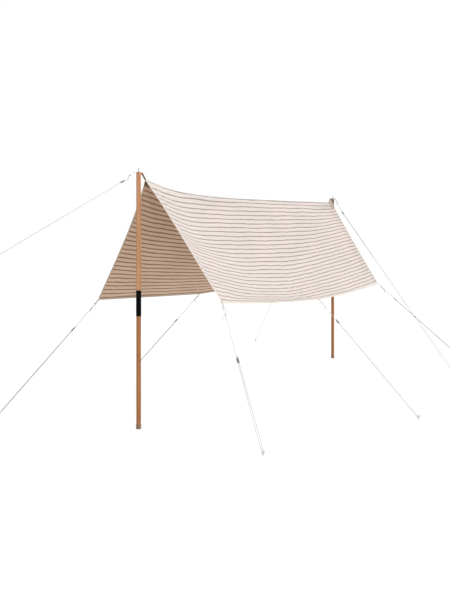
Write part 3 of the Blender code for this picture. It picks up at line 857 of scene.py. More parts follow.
# %% Pull on the stripes
def stripe_shift(along):
    """The stripes run a little askew to the ridge: their move across it, in metres."""
    return STRIPE_SPACING * (0.065 + 0.377 * (along - 0.5))


def front_slack(along, share):
    """Stripes by which the upper half of the pattern is held off the ridge near the front apex."""
    slack = 1.7 * (1.0 - ease((along - 0.03) / 0.23))
    slack *= 0.22 + 0.28 * ease(share / 0.12) + 0.5 * min(share / 0.34, 1.0)
    return slack * (1.0 - ease((share - 0.40) / 0.16))


def draw_to_ridge(along, share):
    """Stripes by which the pattern is drawn ridgewards further back, most of all near the hem."""
    growth = 0.22 + 0.18 * ease((along - 0.6) / 0.25)
    return ease((along - 0.25) / 0.22) * (0.14 + share * growth)


def stripe_pull(side, along, share):
    """Stripes by which a place is drawn ridgewards; of the left panel, only the ridge moves."""
    if side == "left":
        return -0.16 * (1.0 - ease(along / 0.45)) if share == 0.0 else 0.0
    beside_ridge = max(0.0, 1.0 - abs(share * ROWS - 1.0))
    pull = draw_to_ridge(along, share) - front_slack(along, share)
    return pull * ease(share / 0.05) - 0.19 * (1.0 - 0.8 * along) * beside_ridge


print("stripes drawn ridgewards, at the back hem:", round(float(stripe_pull("right", 1.0, 1.0)), 2))

# %% [markdown]
# A few helpers serve every soft piece: a mesh with its flat map, the quads of a sheet or of a
# swept section, a sheet given its thickness, and faces turned outwards.

# %% Mesh helpers
def add_piece(name, mesh, slot_name, *finishes):
    for finish in finishes:
        mesh.materials.append(finish)
    piece = bpy.data.objects.new(name, mesh)
    bpy.context.scene.collection.objects.link(piece)
    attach(piece, "root")
    return piece


def smooth_mesh(name, vertices, faces, spots=None):
    """Smooth mesh; spots give each vertex's flat place, in metres, for the piece's map."""
    mesh = bpy.data.meshes.new(name)
    mesh.from_pydata(vertices, [], faces)
    if spots is not None:
        layer = mesh.uv_layers.new(name="flat")
        order = np.empty(len(mesh.loops), dtype=np.int32)
        mesh.loops.foreach_get("vertex_index", order)
        layer.uv.foreach_set("vector", np.asarray(spots, dtype=np.float32)[order].ravel())
    mesh.shade_smooth()
    return mesh


def sheet_faces(rows, columns):
    """Quads of an open sheet of vertices."""
    starts = [row * columns + column for row in range(rows - 1) for column in range(columns - 1)]
    return [(a, a + 1, a + columns + 1, a + columns) for a in starts]


def swept_faces(sections, ring, closed=False):
    """Quads between the rings of a swept section, and its two ends where it doesn't close."""
    faces = []
    for section in range(sections if closed else sections - 1):
        start, beyond = section * ring, (section + 1) % sections * ring
        for corner in range(ring):
            after = (corner + 1) % ring
            faces.append((start + corner, start + after, beyond + after, beyond + corner))
    if not closed:
        faces += [tuple(range(ring)), tuple(range((sections - 1) * ring, sections * ring))]
    return faces


def finished_mesh(piece):
    """Mesh of an object with its modifiers applied; the object itself goes."""
    bpy.context.view_layer.update()
    shaped = piece.evaluated_get(bpy.context.evaluated_depsgraph_get())
    mesh = bpy.data.meshes.new_from_object(shaped)
    bpy.data.objects.remove(piece, do_unlink=True)
    return mesh


def thickened(name, mesh, **settings):
    """Closed mesh made from an open sheet by Solidify."""
    blank = bpy.data.objects.new("blank", mesh)
    bpy.context.scene.collection.objects.link(blank)
    skin = blank.modifiers.new("Thickness", "SOLIDIFY")
    for setting, value in settings.items():
        setattr(skin, setting, value)
    solid = finished_mesh(blank)
    solid.name = name
    return solid


def outward_facing(mesh, sharp_angle=50.0):
    """Closed mesh with its faces turned outwards and its folds kept crisp."""
    work = bmesh.new()
    work.from_mesh(mesh)
    bmesh.ops.recalc_face_normals(work, faces=work.faces)
    work.to_mesh(mesh)
    work.free()
    mesh.set_sharp_from_angle(angle=math.radians(sharp_angle))
    return mesh

# %% Cloth mesh
CANVAS_THICKNESS = 0.0009


def cloth_spot(along, share):
    """Flat place of the cloth at a signed share of the fall, below 0 on the right panel."""
    side = "right" if share < 0.0 else "left"
    moved = stripe_shift(along) - STRIPE_SPACING * stripe_pull(side, along, abs(share))
    return along * FLAT_LENGTH, share * FLAT_FALL + moved


def build_cloth():
    right, left = PANELS["right"][0], PANELS["left"][0]
    rows = [right[:, row] for row in range(ROWS, 0, -1)] + [left[:, row] for row in range(ROWS + 1)]
    alongs = np.linspace(0.0, 1.0, COLUMNS + 1)
    spots = [cloth_spot(along, row / ROWS) for row in range(-ROWS, ROWS + 1) for along in alongs]
    faces = sheet_faces(len(rows), COLUMNS + 1)
    sheet = smooth_mesh("blank", np.concatenate(rows).tolist(), faces, spots)
    sheet.materials.append(CANVAS_OUT)
    sheet.materials.append(CANVAS_IN_PAINTED_SHADE)
    return thickened(
        "canopy_cloth", sheet, thickness=CANVAS_THICKNESS, offset=-1.0, use_even_offset=True,
        material_offset=1, material_offset_rim=1,
    )


cloth_mesh = build_cloth()
canopy_cloth = add_piece("canopy_cloth", cloth_mesh, "striped_cloth")
up = [polygon for polygon in cloth_mesh.polygons if polygon.material_index == 0]
cloth_area = sum(polygon.area for polygon in up)
print("cloth", len(cloth_mesh.polygons), "faces, outer area", round(cloth_area, 3), "m2")
print("its first normal", tuple(round(part, 2) for part in up[0].normal))

# %% [markdown]
# ## Hems
#
# The canvas is folded over along all four edges and sewn down. A hem is a flat tube that wraps the
# cloth's edge: its outer face shows cream, and its inner face a darker tan that paints the shaded
# side. It is swept along the edge by looking up the fine grid at each station, so it follows every
# ripple.

# %% Hem mesh
SIDE_HEM_WIDTH, SIDE_HEM_RIM, SIDE_HEM_LIFT = 0.020, 0.0006, 0.0007
# The end hems roll 4 mm past the cloth's edge, and the roll's underside shows the inner hem's tan: a
# painted shaded line along the end edges.
END_HEM_WIDTH, END_HEM_SHADE_RIM, END_HEM_LIFT = 0.012, 0.004, 0.0011


def hem_profile(width, rim, lift):
    """Distance in from the edge, lift off the cloth's outer face, and the finish's number."""
    inner = -CANVAS_THICKNESS - lift
    return [
        (width, 0.0001, 0), (width - 0.0007, lift, 0), (width / 2, lift, 0), (0.0010, lift, 0),
        (-0.0006, lift * 0.3, 0), (-rim, -CANVAS_THICKNESS, 1), (-rim + 0.0008, inner, 1),
        (width / 2, inner, 1), (width - 0.0007, inner, 1), (width, -CANVAS_THICKNESS - 0.0001, 1),
    ]


def edge_place(edge, station, inward):
    """Side, along and share of a point that lies a distance in from an edge of the cloth."""
    if edge in ("right", "left"):
        return edge, station, 1.0 - inward / FLAT_FALL
    side = "right" if station < 0.0 else "left"
    along = inward / FLAT_LENGTH if edge == "front" else 1.0 - inward / FLAT_LENGTH
    return side, along, abs(station)


def build_hem(edge, stations, profile):
    vertices, spots = [], []
    for station in stations:
        for inward, lift, _ in profile:
            side, along, share = edge_place(edge, station, inward)
            point, normal = on_cloth(side, along, share)
            vertices.append(point + normal * lift)
            sideways = share * FLAT_FALL if edge in ("front", "back") else along * FLAT_LENGTH
            spots.append((sideways, inward + lift))
    name = f"{edge}_hem"
    mesh = smooth_mesh(name, vertices, swept_faces(len(stations), len(profile)), spots)
    numbers = [number for _, _, number in profile] * (len(stations) - 1) + [1, 1]
    mesh.polygons.foreach_set("material_index", numbers)
    return add_piece(name, outward_facing(mesh), "striped_cloth", HEM_OUT, HEM_IN_PAINTED_SHADE)


def build_hems():
    profile = hem_profile(SIDE_HEM_WIDTH, SIDE_HEM_RIM, SIDE_HEM_LIFT)
    stations = np.linspace(-0.0002, 1.0002, 2 * COLUMNS + 1)
    pieces = [build_hem(side, stations, profile) for side in ("right", "left")]
    profile = hem_profile(END_HEM_WIDTH, END_HEM_SHADE_RIM, END_HEM_LIFT)
    half = sorted([*np.linspace(0.0, 1.0003, 2 * ROWS + 1), 0.002, 0.004])
    stations = [-value for value in reversed(half[1:])] + half
    return pieces + [build_hem(end, stations, profile) for end in ("front", "back")]


hems = build_hems()
print("hems", {piece.name: len(piece.data.polygons) for piece in hems})

# %% [markdown]
# ## Stitches
#
# Thousands of stitches hold the hems and tabs. Geometry Nodes place them: a small spindle of
# thread is instanced along each seam line, turned along it, with a little seeded unevenness. The
# same tree makes every seam.

# %% Stitch tree
def tree_sockets(tree, inputs):
    kinds = {
        "geometry": "NodeSocketGeometry", "float": "NodeSocketFloat",
        "int": "NodeSocketInt", "material": "NodeSocketMaterial",
    }
    for label, kind in inputs:
        tree.interface.new_socket(label, in_out="INPUT", socket_type=kinds[kind])
    tree.interface.new_socket("Geometry", in_out="OUTPUT", socket_type="NodeSocketGeometry")
    return tree.nodes.new("NodeGroupInput").outputs, tree.nodes.new("NodeGroupOutput").inputs


def build_stitch_tree():
    tree = bpy.data.node_groups.new("stitch row", "GeometryNodeTree")
    given, result = tree_sockets(tree, [
        ("Geometry", "geometry"), ("Stitch Length", "float"), ("Stitch Gap", "float"),
        ("Thread Radius", "float"), ("Seed", "int"), ("Thread", "material"),
    ])
    spec = {
        "Curve": given["Geometry"],
        "Length": work_out(tree, "ADD", given["Stitch Length"], given["Stitch Gap"]),
    }
    seam = place(tree, "GeometryNodeResampleCurve", spec, mode="LENGTH")
    spindle = place(tree, "GeometryNodeMeshIcoSphere", {"Radius": 1.0, "Subdivisions": 1})
    spec = {"Vector": place(tree, "GeometryNodeInputTangent").outputs[0]}
    turn = place(tree, "FunctionNodeAlignRotationToVector", spec, axis="Z")
    spec = {2: 0.85, 3: 1.1, "Seed": given["Seed"]}
    wobble = place(tree, "FunctionNodeRandomValue", spec, data_type="FLOAT").outputs[1]
    half = work_out(tree, "MULTIPLY", given["Stitch Length"], 0.5)
    radius, length = given["Thread Radius"], work_out(tree, "MULTIPLY", half, wobble)
    size = place(tree, "ShaderNodeCombineXYZ", {0: radius, 1: radius, 2: length})
    stitches = place(tree, "GeometryNodeInstanceOnPoints", {
        "Points": seam.outputs[0], "Instance": spindle.outputs["Mesh"],
        "Rotation": turn.outputs[0], "Scale": size.outputs[0],
    })
    solid = place(tree, "GeometryNodeRealizeInstances", {0: stitches.outputs[0]})
    smooth = place(tree, "GeometryNodeSetShadeSmooth", {0: solid.outputs[0]})
    spec = {0: smooth.outputs[0], "Material": given["Thread"]}
    done = place(tree, "GeometryNodeSetMaterial", spec)
    tree.links.new(done.outputs[0], result["Geometry"])
    return tree


STITCH_TREE = build_stitch_tree()
print("stitch tree", len(STITCH_TREE.nodes), "nodes")

# %% Growing from lines
def lines_object(name, lines, closed=()):
    """Curve object with one straight-pieced spline for each line of points."""
    curve = bpy.data.curves.new(name, "CURVE")
    curve.dimensions = "3D"
    for number, line in enumerate(lines):
        spline = curve.splines.new("POLY")
        spline.points.add(len(line) - 1)
        for spot, point in zip(spline.points, line):
            spot.co = (*point, 1.0)
        spline.use_cyclic_u = number in closed
    thing = bpy.data.objects.new(name, curve)
    bpy.context.scene.collection.objects.link(thing)
    return thing


def grow(name, lines, tree, settings, closed=()):
    """Run a Geometry Nodes tree on lines and return the plain mesh that it makes."""
    carrier = lines_object("carrier", lines, closed)
    maker = carrier.modifiers.new("Maker", "NODES")
    maker.node_group = tree
    for item in tree.interface.items_tree:
        if item.in_out == "INPUT" and item.name in settings:
            maker[item.identifier] = settings[item.name]
    mesh = finished_mesh(carrier)
    mesh.name = name
    return mesh


def stitch_mesh(name, lines, length=0.0042, gap=0.0022, radius=0.00042):
    return grow(name, lines, STITCH_TREE, {
        "Stitch Length": length, "Stitch Gap": gap, "Thread Radius": radius, "Seed": 3,
        "Thread": THREAD,
    })

# %% Hem stitches
def hem_seams(edge, inward, lift, stations):
    inner = -CANVAS_THICKNESS - lift
    lines = []
    for height in (lift + 0.0001, inner - 0.0001):
        line = []
        for station in stations:
            side, along, share = edge_place(edge, station, inward)
            point, normal = on_cloth(side, along, share)
            line.append(point + normal * height)
        lines.append(line)
    return lines


def build_hem_stitches():
    long_lines, end_lines = [], []
    for side in ("right", "left"):
        stations = np.linspace(0.002, 0.998, 2 * COLUMNS)
        for inward in (0.0165, 0.0035):
            long_lines += hem_seams(side, inward, SIDE_HEM_LIFT, stations)
    for end in ("front", "back"):
        half = np.linspace(0.004, 0.995, 2 * ROWS)
        for sign in (-1.0, 1.0):
            end_lines += hem_seams(end, 0.0085, END_HEM_LIFT, sign * half)
    pieces = []
    for name, lines in (("side_hem_stitches", long_lines), ("end_hem_stitches", end_lines)):
        mesh = stitch_mesh(name, lines)
        pieces.append(add_piece(name, mesh, "striped_cloth"))
        print(name, len(mesh.polygons), "faces")
    return pieces


hem_stitches = build_hem_stitches()

# %% [markdown]
# ## Webbing and leather
#
# A strap is a flat ribbon that follows a path. The ribbon helper sweeps a rounded flat section
# along the points it is given, and keeps a flat map in metres for the weave. Each end of the ridge
# has a tan leather piece with an eyelet on the pole's spike, and olive webbing from there to the
# apex, where a small olive patch under the ridge spreads the pull. The patch is drawn large enough
# to darken the inside of the apex as well, so it is partly a real patch and partly painted shade.

# %% Ribbon helper
def ribbon_mesh(name, path, across, width, thickness):
    """Sweep a rounded flat section along a path; across is the direction of its width."""
    half, thick = width / 2, thickness / 2
    soft = min(thick * 0.7, 0.0005)
    section = [
        (-half + soft, -thick), (half - soft, -thick), (half, -thick + soft), (half, thick - soft),
        (half - soft, thick), (-half + soft, thick), (-half, thick - soft), (-half, -thick + soft),
    ]
    vertices, spots = [], []
    run = 0.0
    for index, point in enumerate(path):
        before, after = path[max(index - 1, 0)], path[min(index + 1, len(path) - 1)]
        normal = (after - before).cross(across).normalized()
        run += (point - before).length
        for wide, lift in section:
            vertices.append(point + across * wide + normal * lift)
            spots.append((run, wide + (0.0 if lift > 0 else 0.1)))
    return outward_facing(smooth_mesh(name, vertices, swept_faces(len(path), len(section)), spots))


def even_path(points, step):
    """Points at an even spacing along straight pieces."""
    path = [points[0]]
    for near, far in zip(points, points[1:]):
        count = max(1, round((far - near).length / step))
        path += [near.lerp(far, number / count) for number in range(1, count + 1)]
    return path


def rounded(points, step, passes=3):
    """Even path with its corners eased."""
    path = even_path(points, step)
    for _ in range(passes):
        inner = [(a + b * 2 + c) / 4 for a, b, c in zip(path, path[1:], path[2:])]
        path = [path[0], *inner, path[-1]]
    return path

# %% Eyelets and holes
def circle_spots(count):
    """Even directions round the upright axis."""
    turns = np.linspace(0.0, 2.0 * math.pi, count, endpoint=False)
    return [Vector((math.cos(turn), math.sin(turn), 0.0)) for turn in turns]


def ring_mesh(name, centre, inner, outer, height, sides=28):
    """Low round washer, its rim eased."""
    soft = min(height, outer - inner) * 0.35
    profile = [
        (inner, soft), (inner + soft, 0.0), (outer - soft, 0.0), (outer, soft),
        (outer, height - soft), (outer - soft, height), (inner + soft, height), (inner, height - soft),
    ]
    vertices = []
    for outward in circle_spots(sides):
        for radius, level in profile:
            vertices.append(centre + outward * radius + Vector((0.0, 0.0, level)))
    faces = swept_faces(sides, len(profile), closed=True)
    return outward_facing(smooth_mesh(name, vertices, faces))


def drill(mesh, centre, radius, reach=0.02, sides=24):
    """Cut a round upright hole through a mesh."""
    up = Vector((0.0, 0.0, reach))
    rims = [[centre + outward * radius + end for outward in circle_spots(sides)] for end in (-up, up)]
    tube = bpy.data.meshes.new("drill")
    tube.from_pydata(rims[0] + rims[1], [], swept_faces(2, sides))
    cutter = bpy.data.objects.new("drill", outward_facing(tube))
    blank = bpy.data.objects.new("blank", mesh)
    for thing in (cutter, blank):
        bpy.context.scene.collection.objects.link(thing)
    cut = blank.modifiers.new("Hole", "BOOLEAN")
    cut.operation, cut.solver, cut.object = "DIFFERENCE", "EXACT", cutter
    drilled = finished_mesh(blank)
    bpy.data.objects.remove(cutter, do_unlink=True)
    return drilled

# %% Ridge straps
STRAP_WIDTH, STRAP_THICKNESS = 0.022, 0.0025
STRAP_FLAT_LENGTH = {"front": 0.032, "back": 0.020}
STRAP_WEBBING_WIDTH, STRAP_WEBBING_THICKNESS = STRAP_WIDTH * 0.86, 0.0017
HOLE_RADIUS = 0.0048
EYELET_INNER, EYELET_OUTER, EYELET_HEIGHT = 0.0047, 0.0085, 0.0006
GAP = 0.0003


def build_strap(end):
    pole_x, inward = (0.0, 1.0) if end == "front" else (POLE_SPACING, -1.0)
    seat = Vector((pole_x, 0.0, POLE_HEIGHT + GAP + STRAP_THICKNESS / 2))
    apex = Vector(ridge_line(np.array(0.0 if end == "front" else 1.0)))
    across = Vector((0.0, 1.0, 0.0))
    flat_end = STRAP_FLAT_LENGTH[end]
    bend = [
        seat + Vector((-inward * 0.014, 0.0, 0.0)), seat + Vector((inward * flat_end, 0.0, 0.0)),
        seat + Vector((inward * (flat_end + 0.007), 0.0, -0.0035)),
    ]
    slope = (apex - bend[-1]).normalized()
    path = rounded([*bend, bend[-1] + slope * 0.012], 0.003, 2)
    leather = ribbon_mesh("blank", path, across, STRAP_WIDTH, STRAP_THICKNESS)
    leather = drill(leather, seat, HOLE_RADIUS)
    leather.name = f"{end}_strap_leather"
    under = Vector((0.0, 0.0, -0.0004))
    path = even_path([bend[-1] + under, apex + under], 0.004)
    webbing = ribbon_mesh(
        f"{end}_strap_webbing", path, across, STRAP_WEBBING_WIDTH, STRAP_WEBBING_THICKNESS,
    )
    rim = seat + Vector((0.0, 0.0, STRAP_THICKNESS / 2 - 0.0003))
    eyelet = ring_mesh(f"{end}_eyelet", rim, EYELET_INNER, EYELET_OUTER, EYELET_HEIGHT)
    return (
        add_piece(f"{end}_strap_leather", leather, "tan_leather", LEATHER),
        add_piece(f"{end}_strap_webbing", webbing, "tan_leather", OLIVE_WEBBING),
        add_piece(f"{end}_eyelet", eyelet, "steel", STEEL),
    )


straps = {end: build_strap(end) for end in ("front", "back")}
for end, pieces in straps.items():
    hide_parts(f"{end}_ridge_strap")
print("straps", [piece.name for pieces in straps.values() for piece in pieces])

# %% Apex patches, partly painted shade
PATCH_REACH, PATCH_FALL, PATCH_NARROWING = 0.075, 0.055, 0.6
PATCH_LIFTS = (-CANVAS_THICKNESS - 0.0012, -CANVAS_THICKNESS - 0.0026)


def patch_faces(rows, columns):
    """Two layers of a sheet, joined round their border."""
    count = rows * columns
    faces = []
    for quad in sheet_faces(rows, columns):
        faces += [quad, tuple(reversed([corner + count for corner in quad]))]
    border = [*range(columns), *range(2 * columns - 1, count, columns)]
    border += [*range(count - 2, count - columns - 1, -1), *range(count - 2 * columns, 0, -columns)]
    for near, far in zip(border, border[1:] + border[:1]):
        faces.append((near, near + count, far + count, far))
    return faces


def apex_shade_patch(end):
    """Olive patch folded under the ridge at its end, and over the end hem: partly a real patch, partly
    painted shade in the apex.
    """
    alongs = np.linspace(-0.001, PATCH_REACH / FLAT_LENGTH, 16)
    shares = np.linspace(-PATCH_FALL, PATCH_FALL, 21) / FLAT_FALL
    vertices, spots = [], []
    for lift in PATCH_LIFTS:
        for along in alongs:
            narrow = 1.0 - PATCH_NARROWING * max(along, 0.0) * FLAT_LENGTH / PATCH_REACH
            for share in shares:
                side = "right" if share < 0 else "left"
                place_along = along if end == "front" else 1.0 - along
                point, normal = on_cloth(side, place_along, abs(share) * narrow)
                vertices.append(point + normal * lift)
                spots.append((along * FLAT_LENGTH, share * FLAT_FALL))
    name = f"{end}_apex_shade_patch"
    mesh = smooth_mesh(name, vertices, patch_faces(len(alongs), len(shares)), spots)
    return add_piece(name, outward_facing(mesh), "cream_webbing", OLIVE_WEBBING)


patches = [apex_shade_patch(end) for end in ("front", "back")]
print("patches", [patch.name for patch in patches])

# %% [markdown]
# ## Hood
#
# At the back the cloth's end is drawn up over the pole's top like a small hood, with a dark leather
# binding sewn down each side. Its top line rises from the ridge to the pole's top, and its section
# changes on the way, from a sharp fold on the cloth to the round of the pole. A simulation could
# drape it, but a rule keeps it just clear of the strap that it covers. The hood's canvas is coloured
# darker than the cloth, and the dark bindings stand partly for the shade at the pole's top: both are
# painted shade.

# %% Hood over the back pole
HOOD_START, HOOD_ON_CLOTH, HOOD_ON_POLE, HOOD_END = 3.460, 3.560, 3.580, 3.590
HOOD_TOP, HOOD_LOW = 2.0045, 1.908
ROUNDING_FROM = 3.545
HOOD_THICKNESS = 0.0008
BINDING_SPAN, BINDING_FALL = (3.554, 3.568), (0.07, 0.60)
BINDING_LIFT, BINDING_THICKNESS = 0.0012, 0.0012


def ridge_place(x):
    """Place along the ridge of a distance from the front pole."""
    return (x - APEX_SETBACKS[0]) / (POLE_SPACING - sum(APEX_SETBACKS))


def hood_bottom(side, x):
    """Lower edge of the hood: on the cloth up to its end, then on to the pole's side."""
    cloth_x = min(x, HOOD_ON_CLOTH)
    share = 0.012 + 0.062 * ease((cloth_x - HOOD_START) / (HOOD_ON_CLOTH - HOOD_START))
    point, normal = on_cloth(side, ridge_place(cloth_x), share)
    point = point + normal * 0.0012
    if x > cloth_x:
        pole_side = Vector((HOOD_END, outward_sign(side) * 0.0216, HOOD_LOW))
        point = point.lerp(pole_side, (x - cloth_x) / (HOOD_END - cloth_x))
    return point


def hood_point(side, x, down):
    """Middle of the hood's canvas, with down 0 on its top line and 1 on its lower edge."""
    bottom = hood_bottom(side, x)
    ridge = float(ridge_line(ridge_place(x))[2]) + 0.0015
    rise = min((x - HOOD_START) / (HOOD_ON_POLE - HOOD_START), 1.0)
    top = ridge + (HOOD_TOP - ridge) * rise**1.4
    roundness = ease((x - ROUNDING_FROM) / (HOOD_ON_POLE - ROUNDING_FROM))
    across = bottom.y * down ** (1.0 - 0.94 * roundness)
    height = top + (bottom.z - top) * down ** (1.0 + 0.6 * roundness)
    return Vector((x + (bottom.x - x) * down, across, height))


def hood_sheet(name, xs, section, lift, thickness):
    """Sheet on the hood's surface, across it through the sides and downs of its section."""
    vertices, spots = [], []
    for x in xs:
        for side, down in section:
            point = hood_point(side, x, down)
            outward = Vector((0.0, outward_sign(side) * min(1.0, down * 8.0), 1.0 - down))
            vertices.append(point + outward.normalized() * lift)
            spots.append((x, point.z * outward_sign(side)))
    sheet = smooth_mesh("blank", vertices, sheet_faces(len(xs), len(section)), spots)
    return outward_facing(thickened(name, sheet, thickness=thickness, offset=0.0))


def build_hood():
    downs = [(number / 18) ** 2.2 for number in range(18, 0, -1)]
    section = [("right", down) for down in (*downs, 0.0)]
    section += [("left", down) for down in reversed(downs)]
    xs = np.linspace(HOOD_START, HOOD_END, 27)
    mesh = hood_sheet("back_hood", xs, section, 0.0, HOOD_THICKNESS)
    pieces = [add_piece("back_hood", mesh, "striped_cloth", HOOD_PAINTED_SHADE_CANVAS)]
    # The dark bindings are partly real leather and partly painted shade at the pole's top.
    xs = np.linspace(*BINDING_SPAN, 5)
    for side in ("right", "left"):
        name = f"back_hood_{side}_binding_and_shade"
        section = [(side, down) for down in np.linspace(*BINDING_FALL, 12)]
        mesh = hood_sheet(name, xs, section, BINDING_LIFT, BINDING_THICKNESS)
        pieces.append(add_piece(name, mesh, "tan_leather", DARK_LEATHER_AND_SHADE))
    return pieces


hood = build_hood()
print("hood", {piece.name: len(piece.data.polygons) for piece in hood})

# %% [markdown]
# ## Tabs
#
# At each corner, and at the middle of each hem, a loop of webbing is sewn to the inside of the hem
# and stands out from it. Its fold is left open as a channel for the rope. One ribbon makes the
# whole loop: out along the first layer, round the fold, and back along the second.
#
# A tab points where its rope pulls it, so the table of guy ropes comes first: where each peg
# stands, how far down the rope its slider sits, and how far the two strands of its loop spread.

# %% Tab frames
TAB_WIDTH, TAB_LENGTH, TAB_SEAM, TAB_DROOP = 0.022, 0.045, 0.9, 0.15
ROPE_HEIGHT_AT_PEG = 0.014
ROPE_LEAD = 0.008
GUYS = {
    "front": {"peg": (-4.04, 0.0), "slider": 0.205, "spread": 0.009},
    "back": {"peg": (3.15, -1.635), "slider": 0.253, "spread": 0.017},
    "front_right": {"peg": (0.015, -1.12), "slider": 0.392, "spread": 0.009},
    "front_left": {"peg": (-0.593, 1.037), "slider": 0.274, "spread": 0.009},
    "mid_right": {"peg": (1.478, -1.732), "slider": 0.238, "spread": 0.009},
    "mid_left": {"peg": (1.872, 1.71), "slider": 0.418, "spread": 0.009},
    "back_right": {"peg": (4.16, -1.480), "slider": 0.233, "spread": 0.009},
    "back_left": {"peg": (4.16, 1.480), "slider": 0.274, "spread": 0.009},
}


def peg_spot(where):
    return Vector((*GUYS[where]["peg"], ROPE_HEIGHT_AT_PEG))


def tab_frame(where):
    """Root, pull direction, width direction and hem place of a tab, as the CAD tab has them."""
    place_name, side = where.split("_")
    along = {"front": 0.0, "mid": MIDDLE_TAB_AT, "back": 1.0}[place_name]
    root = Vector(hem_line(side, along))
    fall = root - Vector(smooth_cloth(side, along, TAB_SEAM))
    fall.x = 0.0
    pull = (peg_spot(where) - root).normalized()
    if place_name == "mid":
        pull.x = 0.0
    direction = (pull - Vector((0.0, 0.0, TAB_DROOP))).normalized()
    panel_normal = fall.cross(Vector((outward_sign(side), 0.0, 0.0))).normalized()
    across = direction.cross(panel_normal).normalized()
    return root + direction * 2 * GAP, direction, across, side, along


print("pegs", {where: guy["peg"] for where, guy in GUYS.items()})

# %% Tabs
TAB_THICKNESS, TAB_OPEN_HALF = 0.0009, 0.0031
LOWER_LAYER, UPPER_LAYER = 0.0034, 0.0023


def sewn_points(where, lift, near, far):
    """Points on the cloth's inner face, from far in from the hem to near it."""
    root, direction, _, side, along = tab_frame(where)
    _, normal = on_cloth(side, along, 1.0)
    inward = (normal * direction.dot(normal) - direction).normalized()
    return [root + inward * distance - normal * lift for distance in (far, (far + near) / 2, near)]


def build_tab(where):
    root, direction, across, side, along = tab_frame(where)
    _, outer_normal = on_cloth(side, along, 1.0)
    inward = direction.cross(across)
    if inward.dot(outer_normal) > 0:
        inward = -inward
    fold = root + direction * (TAB_LENGTH - TAB_OPEN_HALF - TAB_THICKNESS)
    path = sewn_points(where, CANVAS_THICKNESS + LOWER_LAYER, 0.004, 0.026)
    path += [root + direction * 0.005 + inward * 0.0012]
    path += [root + direction * 0.024 + inward * 0.0006]
    for turn in (0.0, *np.linspace(0.25, 2.89, 7), math.pi):
        path += [fold + (direction * math.sin(turn) + inward * math.cos(turn)) * TAB_OPEN_HALF]
    path += [root + direction * 0.024 - inward * 0.0006]
    path += [root + direction * 0.005 + inward * 0.0001]
    path += list(reversed(sewn_points(where, CANVAS_THICKNESS + UPPER_LAYER, 0.004, 0.024)))
    name = f"{where}_tab_webbing"
    mesh = ribbon_mesh(name, rounded(path, 0.0022, 2), across, TAB_WIDTH, TAB_THICKNESS)
    tab = add_piece(name, mesh, "cream_webbing", WEBBING)
    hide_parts(f"{where}_tab")
    return tab


def tab_stitches(where):
    """A sewn box with a cross on the inside of the hem, and a bar across the loop's root."""
    root, direction, across, _, _ = tab_frame(where)
    lift = CANVAS_THICKNESS + LOWER_LAYER + 0.0006
    far, _, near = sewn_points(where, lift, 0.005, 0.024)
    half = across * (TAB_WIDTH / 2 - 0.003)
    corners = [far - half, far + half, near + half, near - half]
    lines = [[*corners, corners[0]], [corners[0], corners[2]], [corners[1], corners[3]]]
    normal = direction.cross(across)
    for lift_side in (-1.0, 1.0):
        bar = root + direction * 0.022 + normal * lift_side * 0.0013
        lines.append([bar - half, bar + half])
    return lines


tabs = [build_tab(where) for where in GUYS if "_" in where]
seams = [line for where in GUYS if "_" in where for line in tab_stitches(where)]
thread = stitch_mesh("tab_stitches", seams, length=0.0024, gap=0.0010, radius=0.00032)
add_piece("tab_stitches", thread, "cream_webbing")
print("tabs", [tab.name for tab in tabs], "with", len(seams), "seams")

# %% [markdown]
# ## Guy ropes
#
# Each rope starts in an eye through its tab, or round the spike, closed by a knot with a short
# loose end. One strand runs down to the slider, passes it, goes round the peg and comes back up
# into the slider, where a stopper knot holds it. The ropes are taut, so they are straight.
#
# The rope itself is laid from three strands. Geometry Nodes sweep a three-lobed section along
# the route and turn it steadily, which is how laid rope gets its twist. The strands stand a little
# proud of the CAD rope's round section, and the grooves between them lie inside it.

# %% Rope tree
ROPE_RADIUS = 0.002
STRAND_REACH = ROPE_RADIUS * 1.15


def lobed_section(tree, given):
    """Circle drawn in between the strands."""
    spec = {"Resolution": 12, "Radius": given["Rope Radius"]}
    circle = place(tree, "GeometryNodeCurvePrimitiveCircle", spec).outputs["Curve"]
    factor = place(tree, "GeometryNodeSplineParameter").outputs["Factor"]
    lobe = work_out(tree, "MULTIPLY", factor, given["Strands"])
    wave = work_out(tree, "COSINE", work_out(tree, "MULTIPLY", lobe, 2.0 * math.pi))
    spec = {
        0: place(tree, "GeometryNodeInputPosition").outputs[0],
        3: work_out(tree, "MULTIPLY_ADD", wave, 0.15, 0.85),
    }
    drawn = place(tree, "ShaderNodeVectorMath", spec, operation="SCALE").outputs[0]
    return place(tree, "GeometryNodeSetPosition", {0: circle, "Position": drawn}).outputs[0]


